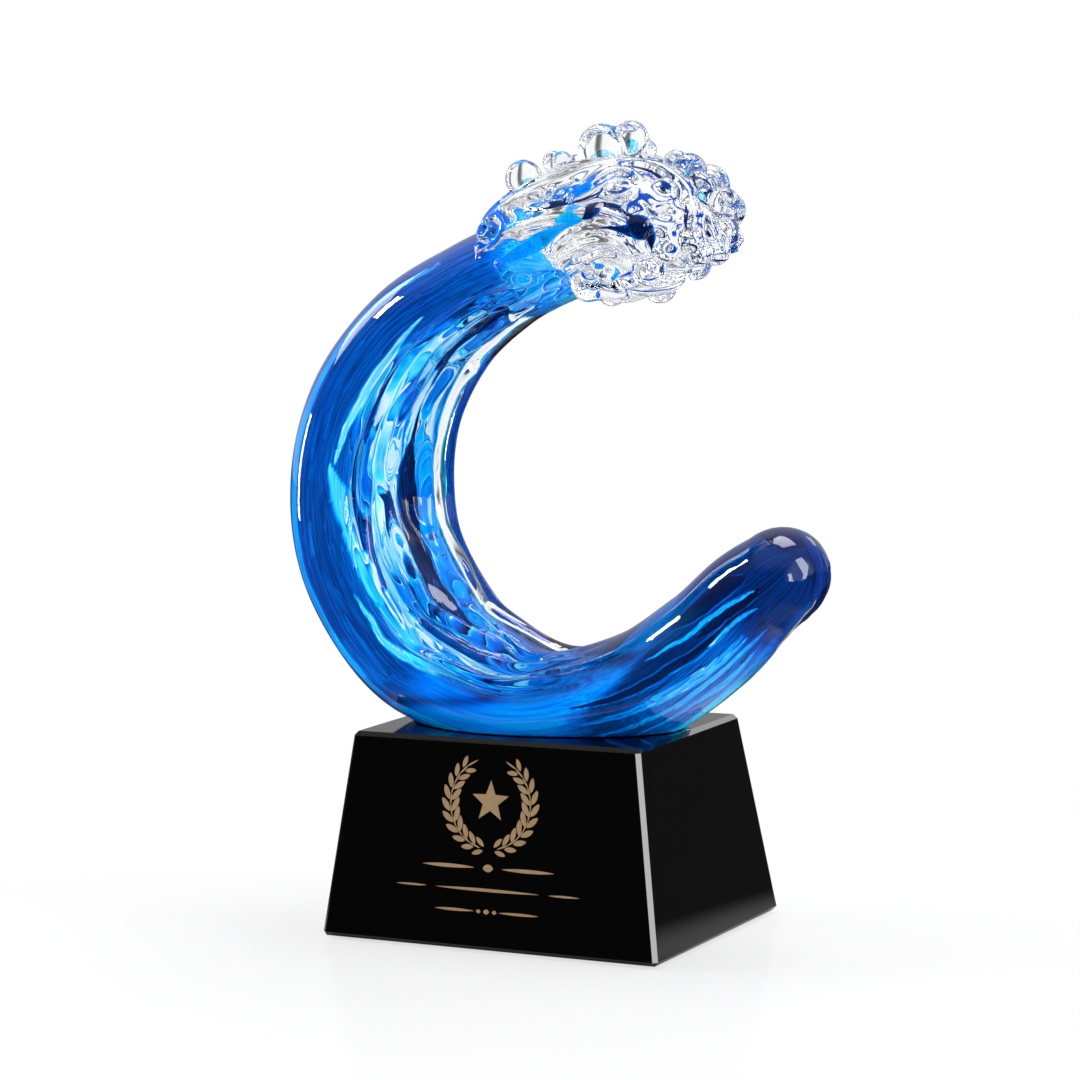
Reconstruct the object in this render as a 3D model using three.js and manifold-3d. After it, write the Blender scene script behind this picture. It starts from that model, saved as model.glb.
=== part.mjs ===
// A hot-worked glass wave award on a black crystal base.
// Millimetres, +Z up. The origin is the centre of the underside, X runs to the right
// along the front, and the front looks towards -Y. The wave curls in the XZ plane.

import * as THREE from 'three';
import { mergeVertices } from 'three/addons/utils/BufferGeometryUtils.js';
import { ConvexGeometry } from 'three/addons/geometries/ConvexGeometry.js';
import Module from 'manifold-3d';

const wasm = await Module();
wasm.setup();

// Driving dimensions: the base
const padWidth = 100;
const padDepth = 72.5;
const padThickness = 0.8;
const padCornerRadius = 5;
const baseBottomWidth = 110;
const baseBottomDepth = 82.5;
const baseTopWidth = 93.5;
const baseTopDepth = 66;
const baseHeight = 60;
const baseChamfer = 1.2;
const adhesiveThickness = 0.3;

// Driving dimensions: the wave
const curlRadius = 57.5;
const limbThickness = 45;
const limbDepth = 60;
const groundOff = 9;

// The stations across the wave run from the limb's upper end, round the back of the curl
// and along the bottom to the tip of the tail. angle is about the centre of the curl, in
// degrees, reach is the distance from it as a share of the curl's radius, and thick and deep
// are shares of the limb's thickness and depth.
const waveStations = [
  { angle: 91, reach: 1.043, thick: 0.667, deep: 0.8 },
  { angle: 108, reach: 0.965, thick: 0.711, deep: 0.833 },
  { angle: 132, reach: 0.939, thick: 0.822, deep: 0.9 },
  { angle: 159, reach: 0.957, thick: 0.933, deep: 0.967 },
  { angle: 183, reach: 1, thick: 1, deep: 1 },
  { angle: 206, reach: 1.061, thick: 1.022, deep: 1 },
  { angle: 230, reach: 1.113, thick: 0.978, deep: 1 },
  { angle: 247, reach: 1.13, thick: 0.867, deep: 1 },
  { angle: 270, reach: 1.165, thick: 0.711, deep: 0.967 },
  { angle: 296, reach: 1.2, thick: 0.733, deep: 0.833 },
  { angle: 317, reach: 1.243, thick: 0.733, deep: 0.667 },
  { angle: 332, reach: 1.313, thick: 0.689, deep: 0.6 },
  { angle: 340, reach: 1.417, thick: 0.622, deep: 0.567 },
];
const lowestStation = waveStations.find((station) => station.angle === 270);

// The trough along the hollow side of the wave: its depth, and the angles about the limb and
// the share of the way along it between which it lies. It fades over the softness at each side
// and between two shares at the tail. Angle 90 is the front and 180 the hollow of the curl.
const troughDepth = 3;
const troughFrom = 110;
const troughTo = 212;
const troughSoftness = 7;
const troughFadeFrom = 0.66;
const troughFadeTo = 0.76;

// Ropes of glass drawn along the trough: the half width in degrees about the limb, the height
// over the trough's floor, and the angles about the limb at even steps from the limb's upper
// end to where the tail starts
const tailStart = 0.7;
const troughRopes = [
  { width: 7, height: 2.7, around: [108, 105, 110, 107, 111, 111, 118, 126] },
  { width: 7, height: 2.1, around: [118, 119, 121, 126, 121, 120, 125, 134] },
  { width: 7, height: 2.4, around: [128, 126, 131, 133, 146, 144, 157, 172] },
  { width: 6, height: 1.8, around: [140, 136, 141, 143, 134, 132, 138, 150] },
  { width: 11, height: 2.7, around: [158, 160, 165, 171, 174, 176, 171, 168] },
  { width: 8, height: 2.2, around: [176, 186, 192, 197, 196, 199, 205, 210] },
];

// The clear casing's wall over the cobalt core, on each side of it, and where along the
// wave the core's line starts and ends
const casingOuterWall = 2.5;
const casingInnerWall = 7;
const casingFrontWall = 3;
const casingBackWall = 9;
const coreStart = 0.04;
const coreEnd = 0.97;

// Driving dimensions: the crest
const crestLength = 54;
const crestRise = 12;
const crestThickness = 36;
const crestDepth = 58;

// The crest's stations are measured from the limb's upper end: along and rise are shares of
// its length and rise, and thick and deep of its thickness and depth.
const crestStations = [
  { along: -0.04, rise: 0, thick: 0.83, deep: 0.83 },
  { along: 0.17, rise: 0.58, thick: 0.97, deep: 0.93 },
  { along: 0.41, rise: 1, thick: 1, deep: 1 },
  { along: 0.65, rise: 1, thick: 0.97, deep: 1 },
  { along: 0.87, rise: 0.88, thick: 0.75, deep: 0.9 },
  { along: 1, rise: 0.75, thick: 0.5, deep: 0.66 },
];

// Beads of foam on the crest. along runs from 0 at the limb to 1 at the lip, and past 1 it
// goes round the lip's blunt end. around is the angle about the crest: 0 faces down to the
// hollow of the curl, 90 the front, 180 the sky and 270 the back. size is a share of the largest
// bead's radius, and proud is how far the bead's centre stands off the skin, as a share of its
// own radius.
const beadRadius = 7.2;
const foamBeads = [
  { along: 0.22, around: 166, size: 0.78, proud: 0.5 },
  { along: 0.31, around: 178, size: 0.47, proud: 1 },
  { along: 0.36, around: 168, size: 0.46, proud: 0.6 },
  { along: 0.45, around: 178, size: 1, proud: 0.45 },
  { along: 0.52, around: 186, size: 0.72, proud: 1.2 },
  { along: 0.59, around: 190, size: 0.39, proud: 1.3 },
  { along: 0.7, around: 194, size: 0.56, proud: 0.6 },
  { along: 0.81, around: 184, size: 0.78, proud: 0.5 },
  { along: 0.94, around: 176, size: 0.69, proud: 0.35 },
  { along: 1.17, around: 172, size: 0.61, proud: 0.9 },
  { along: 1.28, around: 142, size: 0.5, proud: 0.3 },
  { along: 1.27, around: 60, size: 0.64, proud: 0.3 },
  { along: 1.2, around: 62, size: 0.56, proud: 0.3 },
  { along: 1.17, around: 92, size: 0.5, proud: 0.3 },
  { along: 1, around: 68, size: 0.56, proud: 0.3 },
  { along: 0.72, around: 356, size: 0.72, proud: 0.4 },
  { along: 0.83, around: 40, size: 0.64, proud: 0.35 },
  { along: 0.5, around: 8, size: 0.64, proud: 0.35 },
  { along: 0.62, around: 48, size: 0.56, proud: 0.3 },
  { along: 0.46, around: 32, size: 0.72, proud: 0.35 },
  { along: 0.58, around: 60, size: 0.47, proud: 0.3 },
  { along: 0.84, around: 144, size: 0.56, proud: 0.3 },
  { along: 0.99, around: 124, size: 0.47, proud: 0.3 },
  { along: 0.83, around: 98, size: 0.44, proud: 0.3 },
  { along: 0.14, around: 60, size: 0.39, proud: 0.3 },
  { along: 0.08, around: 70, size: 0.28, proud: 0.4 },
  { along: 0.3, around: 204, size: 0.75, proud: 0.35 },
  { along: 0.44, around: 222, size: 0.86, proud: 0.35 },
  { along: 0.62, around: 232, size: 0.72, proud: 0.35 },
  { along: 0.78, around: 226, size: 0.86, proud: 0.35 },
  { along: 0.93, around: 246, size: 0.75, proud: 0.35 },
  { along: 0.5, around: 262, size: 0.75, proud: 0.35 },
  { along: 0.68, around: 272, size: 0.86, proud: 0.35 },
  { along: 0.85, around: 284, size: 0.75, proud: 0.35 },
  { along: 0.58, around: 304, size: 0.78, proud: 0.35 },
  { along: 0.74, around: 312, size: 0.72, proud: 0.35 },
];
// Beads over this size have more faces than the smaller ones
const largeBead = 0.6;

// Curls of glass rolled up on the crest: a tapering rod wound in towards an eye, over a low
// dome. The rod starts at the angle turn, in degrees, and size is a share of the largest curl.
const foamCurlReach = 6.2;
const foamCurlRod = 1.2;
const foamCurls = [
  { along: 0.12, around: 114, size: 1, turn: 200 },
  { along: 0.45, around: 113, size: 0.79, turn: 30 },
  { along: 0.68, around: 127, size: 0.74, turn: 150 },
  { along: 0.36, around: 250, size: 0.87, turn: 80 },
  { along: 0.88, around: 132, size: 0.68, turn: 20 },
  { along: 0.62, around: 246, size: 0.81, turn: 200 },
];
const foamCurlTurns = 1.3;
// The eye's reach, the radius of the ball that makes the dome and the depth of its centre under
// the skin, as shares of the curl's reach, and how far the rod's middle stands off the dome and
// the skin, as a share of the rod's radius
const foamCurlEye = 0.3;
const foamCurlDome = 0.9;
const foamCurlDomeDepth = 0.5;
const foamCurlStandOff = 0.5;

// Folds drawn along the crest as thick ridges: each follows a path over its skin
const crestRidges = [
  { radius: 3.2, path: [[0.08, 134], [0.27, 126], [0.42, 126], [0.52, 142], [0.61, 164]] },
  { radius: 2.8, path: [[0.18, 106], [0.35, 98], [0.49, 98], [0.66, 100], [0.79, 90], [0.85, 62]] },
  { radius: 2.8, path: [[0.63, 164], [0.72, 168], [0.92, 158], [1.1, 134], [1.16, 104]] },
  { radius: 5.2, path: [[0.38, 40], [0.52, 30], [0.62, 16], [0.72, 4]] },
  { radius: 2.8, path: [[0.14, 285], [0.3, 292], [0.46, 284], [0.6, 290]] },
];
// How far the middle of a ridge lies off the skin
const ridgeStandOff = 0.9;

// A rod's radius at its ends and the length of the blunt tip there, as shares of its full radius
const rodEnd = 0.5;
const rodTip = 0.3;

// Clearances and fineness of the meshes
const fusedGap = 0.3;
const waveRings = 44;
const troughSides = 22;
const waveBackSides = 14;
const coreRings = 30;
const coreSides = 18;
const crestRings = 18;
const crestSides = 20;
const capRings = 3;
const largeBeadDetail = 2;
const smallBeadDetail = 1;
const rodSides = 6;
const foamCurlSteps = 18;
const ridgeSteps = 11;
// The round end of a limb takes this much of a share past 1, up to its pole
const endShare = 0.3;
const directionStep = 1e-3;
const weldDistance = 1e-4;
const cutterReach = 1000;

const baseTop = padThickness + baseHeight;
const footHeight = baseTop + adhesiveThickness;
const footToLowestLine = (lowestStation.thick * limbThickness) / 2 - groundOff;
const curlCentre = footHeight + footToLowestLine + lowestStation.reach * curlRadius;
const fullTurn = Math.PI * 2;

// Joins rings of points into one closed skin, with a point at each end.
function closedSkin(rings, firstPole, lastPole) {
  const sides = rings[0].length;
  const points = [firstPole, ...rings.flat(), lastPole];
  const last = points.length - 1;
  const faces = [];
  const at = (ring, side) => 1 + ring * sides + (side % sides);
  for (let side = 0; side < sides; side += 1) {
    faces.push(0, at(0, side + 1), at(0, side));
    faces.push(last, at(rings.length - 1, side), at(rings.length - 1, side + 1));
  }
  for (let ring = 0; ring + 1 < rings.length; ring += 1) {
    for (let side = 0; side < sides; side += 1) {
      faces.push(at(ring, side), at(ring, side + 1), at(ring + 1, side));
      faces.push(at(ring, side + 1), at(ring + 1, side + 1), at(ring + 1, side));
    }
  }
  const geometry = new THREE.BufferGeometry();
  geometry.setAttribute('position', new THREE.Float32BufferAttribute(points.flatMap((p) => p.toArray()), 3));
  geometry.setIndex(faces);
  return faceOutwards(geometry);
}

// Turns every triangle round if the skin encloses a negative volume.
function faceOutwards(geometry) {
  const position = geometry.getAttribute('position');
  const index = geometry.getIndex().array;
  const corners = [new THREE.Vector3(), new THREE.Vector3(), new THREE.Vector3()];
  let volume = 0;
  for (let i = 0; i < index.length; i += 3) {
    corners.forEach((corner, k) => corner.fromBufferAttribute(position, index[i + k]));
    volume += corners[0].dot(corners[1].clone().cross(corners[2]));
  }
  if (volume < 0) {
    for (let i = 0; i < index.length; i += 3) {
      [index[i + 1], index[i + 2]] = [index[i + 2], index[i + 1]];
    }
  }
  return geometry;
}

function toSolid(geometry) {
  const bare = geometry.clone();
  bare.deleteAttribute('normal');
  bare.deleteAttribute('uv');
  const merged = mergeVertices(bare, weldDistance);
  return new wasm.Manifold(new wasm.Mesh({
    numProp: 3,
    vertProperties: new Float32Array(merged.getAttribute('position').array),
    triVerts: new Uint32Array(merged.getIndex().array),
  }));
}

function toGeometry(solid) {
  const mesh = solid.getMesh();
  const geometry = new THREE.BufferGeometry();
  geometry.setAttribute('position', new THREE.Float32BufferAttribute(mesh.vertProperties, 3));
  geometry.setIndex([...mesh.triVerts]);
  geometry.computeVertexNormals();
  return geometry;
}

function cutAway(solid, cutters) {
  return cutters.reduce((left, cutter) => left.subtract(cutter), solid);
}

// The largest of a solid's separate bodies, without the scraps that a cut leaves at a crossing.
function mainBody(solid) {
  return solid.decompose().reduce((best, body) => (body.volume() > best.volume() ? body : best));
}

// Angles in degrees from one to another at even steps, without the last.
function evenAngles(from, to, count) {
  return Array.from({ length: count }, (_, i) => from + ((to - from) * i) / count);
}

// A limb of glass whose oval section changes along a smooth line in the XZ plane. relief gives
// how far its skin stands out of the oval at a share of the way and an angle in degrees.
class Limb {
  constructor(stations, relief = () => 0) {
    this.relief = relief;
    const line = stations.map((s) => new THREE.Vector3(s.x, s.y, s.z));
    const girth = stations.map((s) => new THREE.Vector3(s.thick, s.deep, 0));
    this.line = new THREE.CatmullRomCurve3(line, false, 'catmullrom', 0.5);
    this.girth = new THREE.CatmullRomCurve3(girth, false, 'catmullrom', 0.5);
  }

  // The section at a share of the way: its centre, half sizes, direction, and the side to the
  // left of that direction seen from the front. On the wave that is the side of the hollow.
  section(share) {
    const centre = this.line.getPoint(share);
    const girth = this.girth.getPoint(share);
    const ahead = this.line.getPoint(Math.min(share + directionStep, 1));
    const behind = this.line.getPoint(Math.max(share - directionStep, 0));
    const direction = ahead.sub(behind).setY(0).normalize();
    const leftSide = new THREE.Vector3(-direction.z, 0, direction.x);
    return { centre, thick: girth.x, deep: girth.y, direction, leftSide };
  }

  // A point of the skin: angle 0 faces the right side and 90 degrees the front.
  point(section, angle, shrink, grow) {
    const left = -(section.thick * shrink + grow) * Math.cos(angle);
    const back = -(section.deep * shrink + grow) * Math.sin(angle);
    return section.centre.clone().addScaledVector(section.leftSide, left).add(new THREE.Vector3(0, back, 0));
  }

  // The way out of the skin at an angle.
  outward(section, angle) {
    const way = section.leftSide.clone().multiplyScalar(-Math.cos(angle) / section.thick);
    way.y = -Math.sin(angle) / section.deep;
    return way.normalize();
  }

  ring(share, push, shrink, angles, grow) {
    const section = this.section(share);
    section.centre.addScaledVector(section.direction, push);
    return angles.map((degrees) => {
      const angle = THREE.MathUtils.degToRad(degrees);
      const lift = this.relief(share, degrees) * shrink;
      return this.point(section, angle, shrink, grow).addScaledVector(this.outward(section, angle), lift);
    });
  }

  // The closed solid from one share to another, with points at the given angles and round ends,
  // grown all over by a clearance.
  solid(rings, angles, from = 0, to = 1, grow = 0) {
    const caps = Array.from({ length: capRings }, (_, i) => ((i + 1) / (capRings + 1)) * (Math.PI / 2));
    const first = this.section(from);
    const last = this.section(to);
    const all = [];
    for (const angle of [...caps].reverse()) {
      const push = -(first.thick + grow) * Math.sin(angle);
      all.push(this.ring(from, push, Math.cos(angle), angles, grow * Math.cos(angle)));
    }
    for (let i = 0; i <= rings; i += 1) {
      all.push(this.ring(from + ((to - from) * i) / rings, 0, 1, angles, grow));
    }
    for (const angle of caps) {
      const push = (last.thick + grow) * Math.sin(angle);
      all.push(this.ring(to, push, Math.cos(angle), angles, grow * Math.cos(angle)));
    }
    const firstPole = first.centre.clone().addScaledVector(first.direction, -(first.thick + grow));
    const lastPole = last.centre.clone().addScaledVector(last.direction, last.thick + grow);
    return toSolid(closedSkin(all, firstPole, lastPole));
  }

  // A point on or off the skin, with the outward direction there. Past 1 the share goes round
  // the far end.
  skinPoint(share, degrees, lift) {
    const push = THREE.MathUtils.clamp((share - 1) / endShare, 0, 1);
    const shrink = Math.sqrt(1 - push ** 2);
    const section = this.section(Math.min(share, 1));
    section.centre.addScaledVector(section.direction, push * section.thick);
    const angle = THREE.MathUtils.degToRad(degrees);
    const point = this.point(section, angle, shrink, 0);
    const outward = this.outward(section, angle).multiplyScalar(shrink);
    outward.addScaledVector(section.direction, push).normalize();
    return { point: point.addScaledVector(outward, lift), outward };
  }
}

// A round rod along a curve, thick in the middle and drawn to a blunt tip at each end.
function rodSolid(curve, steps, radius, grow) {
  const frames = curve.computeFrenetFrames(steps, false);
  const rings = [];
  for (let i = 0; i <= steps; i += 1) {
    const share = i / steps;
    const taper = rodEnd + (1 - rodEnd) * Math.sqrt(Math.sin(Math.PI * share));
    const centre = curve.getPointAt(share);
    rings.push(Array.from({ length: rodSides }, (_, side) => {
      const angle = (side / rodSides) * fullTurn;
      return centre.clone()
        .addScaledVector(frames.normals[i], (radius * taper + grow) * Math.cos(angle))
        .addScaledVector(frames.binormals[i], (radius * taper + grow) * Math.sin(angle));
    }));
  }
  const tip = radius * rodTip + grow;
  const firstPole = curve.getPointAt(0).addScaledVector(frames.tangents[0], -tip);
  const lastPole = curve.getPointAt(1).addScaledVector(frames.tangents[steps], tip);
  return toSolid(closedSkin(rings, firstPole, lastPole));
}

// A wide level slab from one height to another, to cut with.
function slab(low, high) {
  const box = new THREE.BoxGeometry(cutterReach, cutterReach, high - low);
  return toSolid(box.translate(0, 0, (low + high) / 2));
}

// The base: a thin pad under a tapered block

function padGeometry() {
  const outline = new THREE.Shape();
  const x = padWidth / 2 - padCornerRadius;
  const y = padDepth / 2 - padCornerRadius;
  outline.absarc(x, y, padCornerRadius, 0, Math.PI / 2);
  outline.absarc(-x, y, padCornerRadius, Math.PI / 2, Math.PI);
  outline.absarc(-x, -y, padCornerRadius, Math.PI, Math.PI * 1.5);
  outline.absarc(x, -y, padCornerRadius, Math.PI * 1.5, fullTurn);
  return new THREE.ExtrudeGeometry(outline, { depth: padThickness, bevelEnabled: false, curveSegments: 6 });
}

// A tapered block with a polished chamfer along every edge: the hull of three points at each corner.
function baseGeometry() {
  const leanX = (baseBottomWidth - baseTopWidth) / 2 / baseHeight;
  const leanY = (baseBottomDepth - baseTopDepth) / 2 / baseHeight;
  const ends = [
    { width: baseBottomWidth, depth: baseBottomDepth, level: padThickness, inward: 1 },
    { width: baseTopWidth, depth: baseTopDepth, level: baseTop, inward: -1 },
  ];
  const points = [];
  for (const { width, depth, level, inward } of ends) {
    const x = width / 2;
    const y = depth / 2;
    const sideX = x - inward * baseChamfer * leanX;
    const sideY = y - inward * baseChamfer * leanY;
    const sideLevel = level + inward * baseChamfer;
    for (const [across, back] of [[-1, -1], [1, -1], [1, 1], [-1, 1]]) {
      points.push(new THREE.Vector3(across * (x - baseChamfer), back * (y - baseChamfer), level));
      points.push(new THREE.Vector3(across * sideX, back * (sideY - baseChamfer), sideLevel));
      points.push(new THREE.Vector3(across * (sideX - baseChamfer), back * sideY, sideLevel));
    }
  }
  return new ConvexGeometry(points);
}

// The wave

const waveLine = waveStations.map(({ angle, reach, thick, deep }) => {
  const turn = THREE.MathUtils.degToRad(angle);
  const x = reach * curlRadius * Math.cos(turn);
  const z = curlCentre + reach * curlRadius * Math.sin(turn);
  return { x, y: 0, z, thick: (thick * limbThickness) / 2, deep: (deep * limbDepth) / 2 };
});

// How deep the trough's floor lies under the oval skin. It is nought outside the trough.
function troughHollow(share, degrees) {
  const { smoothstep } = THREE.MathUtils;
  const front = smoothstep(degrees, troughFrom - troughSoftness, troughFrom + troughSoftness);
  const back = 1 - smoothstep(degrees, troughTo - troughSoftness, troughTo + troughSoftness);
  const tail = 1 - smoothstep(share, troughFadeFrom, troughFadeTo);
  return troughDepth * front * back * tail;
}

// Each rope has a rounded back, and the ropes meet in sharp valleys.
const ropeLines = troughRopes.map(({ around }) => (
  new THREE.CatmullRomCurve3(around.map((degrees) => new THREE.Vector3(degrees, 0, 0)), false, 'catmullrom', 0.5)
));
function waveRelief(share, degrees) {
  const hollow = troughHollow(share, degrees);
  const heights = troughRopes.map(({ width, height }, i) => {
    const middle = ropeLines[i].getPoint(Math.min(share / tailStart, 1)).x;
    return height * (1 - ((degrees - middle) / width) ** 2);
  });
  return (hollow / troughDepth) * Math.max(0, ...heights) - hollow;
}
const wave = new Limb(waveLine, waveRelief);
const waveAngles = [
  ...evenAngles(troughFrom - troughSoftness, troughTo + troughSoftness, troughSides),
  ...evenAngles(troughTo + troughSoftness, troughFrom - troughSoftness + 360, waveBackSides),
];

// The core lies nearer the front and the outside of the curl than the back and the inside, and
// it is hollowed under the trough as the wave is.
function coreStationsInside(limb) {
  const count = waveStations.length - 1;
  return waveStations.map((_, i) => {
    const { centre, thick, deep, leftSide } = limb.section(i / count);
    centre.addScaledVector(leftSide, (casingOuterWall - casingInnerWall) / 2);
    return {
      x: centre.x,
      y: (casingFrontWall - casingBackWall) / 2,
      z: centre.z,
      thick: thick - (casingOuterWall + casingInnerWall) / 2,
      deep: deep - (casingFrontWall + casingBackWall) / 2,
    };
  });
}
const core = new Limb(coreStationsInside(wave), (share, degrees) => -troughHollow(share, degrees));
const coreAngles = evenAngles(0, 360, coreSides);

// The crest

const limbEnd = waveLine[0];
const crestLine = crestStations.map(({ along, rise, thick, deep }) => {
  const x = limbEnd.x + along * crestLength;
  const z = limbEnd.z + rise * crestRise;
  return { x, y: 0, z, thick: (thick * crestThickness) / 2, deep: (deep * crestDepth) / 2 };
});
const crest = new Limb(crestLine);
const crestAngles = evenAngles(0, 360, crestSides);

function ballSolid(centre, radius, detail) {
  const ball = new THREE.IcosahedronGeometry(radius, detail);
  return toSolid(ball.translate(centre.x, centre.y, centre.z));
}

function beadSolid({ along, around, size, proud }, grow) {
  const radius = beadRadius * size;
  const { point } = crest.skinPoint(along, around, radius * proud);
  return ballSolid(point, radius + grow, size > largeBead ? largeBeadDetail : smallBeadDetail);
}

// A spiral wound in towards its eye over a dome on the crest's skin.
function foamCurlSolid({ along, around, size, turn }, grow) {
  const { point, outward } = crest.skinPoint(along, around, 0);
  const side = new THREE.Vector3(0, 1, 0).cross(outward).normalize();
  const up = outward.clone().cross(side);
  const rod = foamCurlRod * size;
  const domeRadius = foamCurlDome * foamCurlReach * size;
  const domeDepth = foamCurlDomeDepth * foamCurlReach * size;
  const points = [];
  for (let i = 0; i <= foamCurlSteps; i += 1) {
    const share = i / foamCurlSteps;
    const angle = THREE.MathUtils.degToRad(turn) + share * foamCurlTurns * fullTurn;
    const reach = foamCurlReach * size * (1 - (1 - foamCurlEye) * share);
    const domeHeight = Math.sqrt(Math.max(domeRadius ** 2 - reach ** 2, 0)) - domeDepth;
    points.push(point.clone()
      .addScaledVector(side, reach * Math.cos(angle))
      .addScaledVector(up, reach * Math.sin(angle))
      .addScaledVector(outward, Math.max(domeHeight, 0) + rod * foamCurlStandOff));
  }
  const coil = rodSolid(new THREE.CatmullRomCurve3(points), foamCurlSteps, rod, grow);
  const domeCentre = point.clone().addScaledVector(outward, -domeDepth);
  return coil.add(ballSolid(domeCentre, domeRadius + grow, smallBeadDetail));
}

function ridgeSolid({ radius, path }, grow) {
  const places = new THREE.CatmullRomCurve3(
    path.map(([along, around]) => new THREE.Vector3(along, around, 0)), false, 'catmullrom', 0.5);
  const points = [];
  for (let i = 0; i <= ridgeSteps; i += 1) {
    const place = places.getPoint(i / ridgeSteps);
    points.push(crest.skinPoint(place.x, place.y, ridgeStandOff).point);
  }
  return rodSolid(new THREE.CatmullRomCurve3(points), ridgeSteps, radius, grow);
}

// Materials

const glass = (colour, roughness) => new THREE.MeshStandardMaterial({
  color: colour, roughness, metalness: 0, transparent: true, opacity: 0.45,
});
const clearGlass = glass(0xe8f4fa, 0.04);
const cobaltGlass = glass(0x0a3fb4, 0.05);
const crestGlass = glass(0xa9d4ee, 0.05);
const bondResin = glass(0xf2f6f8, 0.1);
const blackCrystal = new THREE.MeshStandardMaterial({ color: 0x050506, roughness: 0.05, metalness: 0 });
const blackFelt = new THREE.MeshStandardMaterial({ color: 0x161616, roughness: 0.95, metalness: 0 });

// Assembly

const award = new THREE.Group();
award.name = 'wave_award';

function addPiece(name, geometry, material) {
  const mesh = new THREE.Mesh(geometry, material);
  mesh.name = name;
  award.add(mesh);
}

const underFoot = slab(footHeight - cutterReach, footHeight);
const filmSlab = slab(baseTop, footHeight);
const waveWhole = wave.solid(waveRings, waveAngles);
const waveGrown = wave.solid(waveRings, waveAngles, 0, 1, fusedGap);
const coreWhole = core.solid(coreRings, coreAngles, coreStart, coreEnd);
const coreGrown = core.solid(coreRings, coreAngles, coreStart, coreEnd, fusedGap);

addPiece('base_pad', padGeometry(), blackFelt);
addPiece('base_block', baseGeometry(), blackCrystal);
addPiece('adhesive_film', toGeometry(waveWhole.intersect(filmSlab)), bondResin);
addPiece('wave_casing', toGeometry(cutAway(waveWhole, [coreGrown, underFoot])), clearGlass);
addPiece('wave_core', toGeometry(coreWhole.subtract(underFoot)), cobaltGlass);

// Each piece fused to the crest is cut by the pieces laid before it.
const laid = [waveGrown];
function addCrestPiece(name, makeSolid, material) {
  addPiece(name, toGeometry(mainBody(cutAway(makeSolid(0), laid))), material);
  laid.push(makeSolid(fusedGap));
}

addCrestPiece('crest_gather', (grow) => crest.solid(crestRings, crestAngles, 0, 1, grow), crestGlass);
crestRidges.forEach((ridge, i) => {
  addCrestPiece(`crest_ridge_${i + 1}`, (grow) => ridgeSolid(ridge, grow), crestGlass);
});
foamCurls.forEach((curl, i) => {
  addCrestPiece(`crest_curl_${i + 1}`, (grow) => foamCurlSolid(curl, grow), crestGlass);
});
foamBeads.forEach((bead, i) => {
  addCrestPiece(`foam_bead_${String(i + 1).padStart(2, '0')}`, (grow) => beadSolid(bead, grow), clearGlass);
});

export default award;
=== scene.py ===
"""Dresses a glass wave award over its frame: the fused clear glass, the cobalt core in it,
the froth of the crest, seed bubbles, the black crystal base and its gilt ornament."""

import math

import bpy
import numpy as np
from bpy.props import FloatProperty, FloatVectorProperty, PointerProperty
from mathutils import Matrix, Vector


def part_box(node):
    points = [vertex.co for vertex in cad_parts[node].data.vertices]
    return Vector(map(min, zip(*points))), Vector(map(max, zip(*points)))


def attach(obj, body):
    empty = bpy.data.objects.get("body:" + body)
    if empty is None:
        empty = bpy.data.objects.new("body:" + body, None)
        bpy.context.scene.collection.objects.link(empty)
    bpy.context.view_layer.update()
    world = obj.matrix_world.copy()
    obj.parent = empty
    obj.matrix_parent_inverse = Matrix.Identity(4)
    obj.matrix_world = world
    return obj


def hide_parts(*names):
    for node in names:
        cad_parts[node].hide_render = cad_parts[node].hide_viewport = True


bl_info = {
    "name": "Glass wave award",
    "version": (1, 0, 0),
    "blender": (4, 5, 0),
    "location": "View3D > Sidebar > Award",
    "description": "Builds the glass, the froth, the base's finish and the studio of a wave award",
    "category": "Object",
}

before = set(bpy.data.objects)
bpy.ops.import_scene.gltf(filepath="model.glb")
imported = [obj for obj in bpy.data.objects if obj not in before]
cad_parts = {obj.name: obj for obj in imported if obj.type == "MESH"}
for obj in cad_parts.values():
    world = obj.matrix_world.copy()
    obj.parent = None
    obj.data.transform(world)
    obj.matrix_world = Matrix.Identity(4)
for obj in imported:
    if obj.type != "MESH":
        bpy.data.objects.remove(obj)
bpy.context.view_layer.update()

# Shapes are worked out in millimetres and stored in metres
MM = 0.001
BODY = "root"
TURN = 2 * math.pi

# The share of the core's length that lies in the crest, and the wave's length in millimetres
CREST_SHARE = 3 / 15
WAVE_LENGTH = 330.0

# The strength of the light on cloudy glass inside clear glass: at 2.3 a colour there renders
# about as it is written, because part of the light never gets through the clear glass
THROUGH_GLASS = 2.3

# Stations across the wave: the angle about the curl's centre in degrees, the reach as a share
# of the curl's radius, and shares of the limb's thickness and depth
WAVE_STATIONS = np.array([
    (91, 1.043, 0.667, 0.8),
    (108, 0.965, 0.711, 0.833),
    (132, 0.939, 0.822, 0.9),
    (159, 0.957, 0.933, 0.967),
    (183, 1, 1, 1),
    (206, 1.061, 1.022, 1),
    (230, 1.113, 0.978, 1),
    (247, 1.13, 0.867, 1),
    (270, 1.165, 0.711, 0.967),
    (296, 1.2, 0.733, 0.833),
    (317, 1.243, 0.733, 0.667),
    (332, 1.313, 0.689, 0.6),
    (340, 1.417, 0.622, 0.567),
])
LOWEST_STATION = 8

# Stations along the crest: shares of its length and rise from the limb's end, and of its
# thickness and depth
CREST_STATIONS = np.array([
    (-0.04, 0, 0.83, 0.83),
    (0.17, 0.58, 0.97, 0.93),
    (0.41, 1, 1, 1),
    (0.65, 1, 0.97, 1),
    (0.87, 0.88, 0.75, 0.9),
    (1, 0.75, 0.5, 0.66),
])

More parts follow.
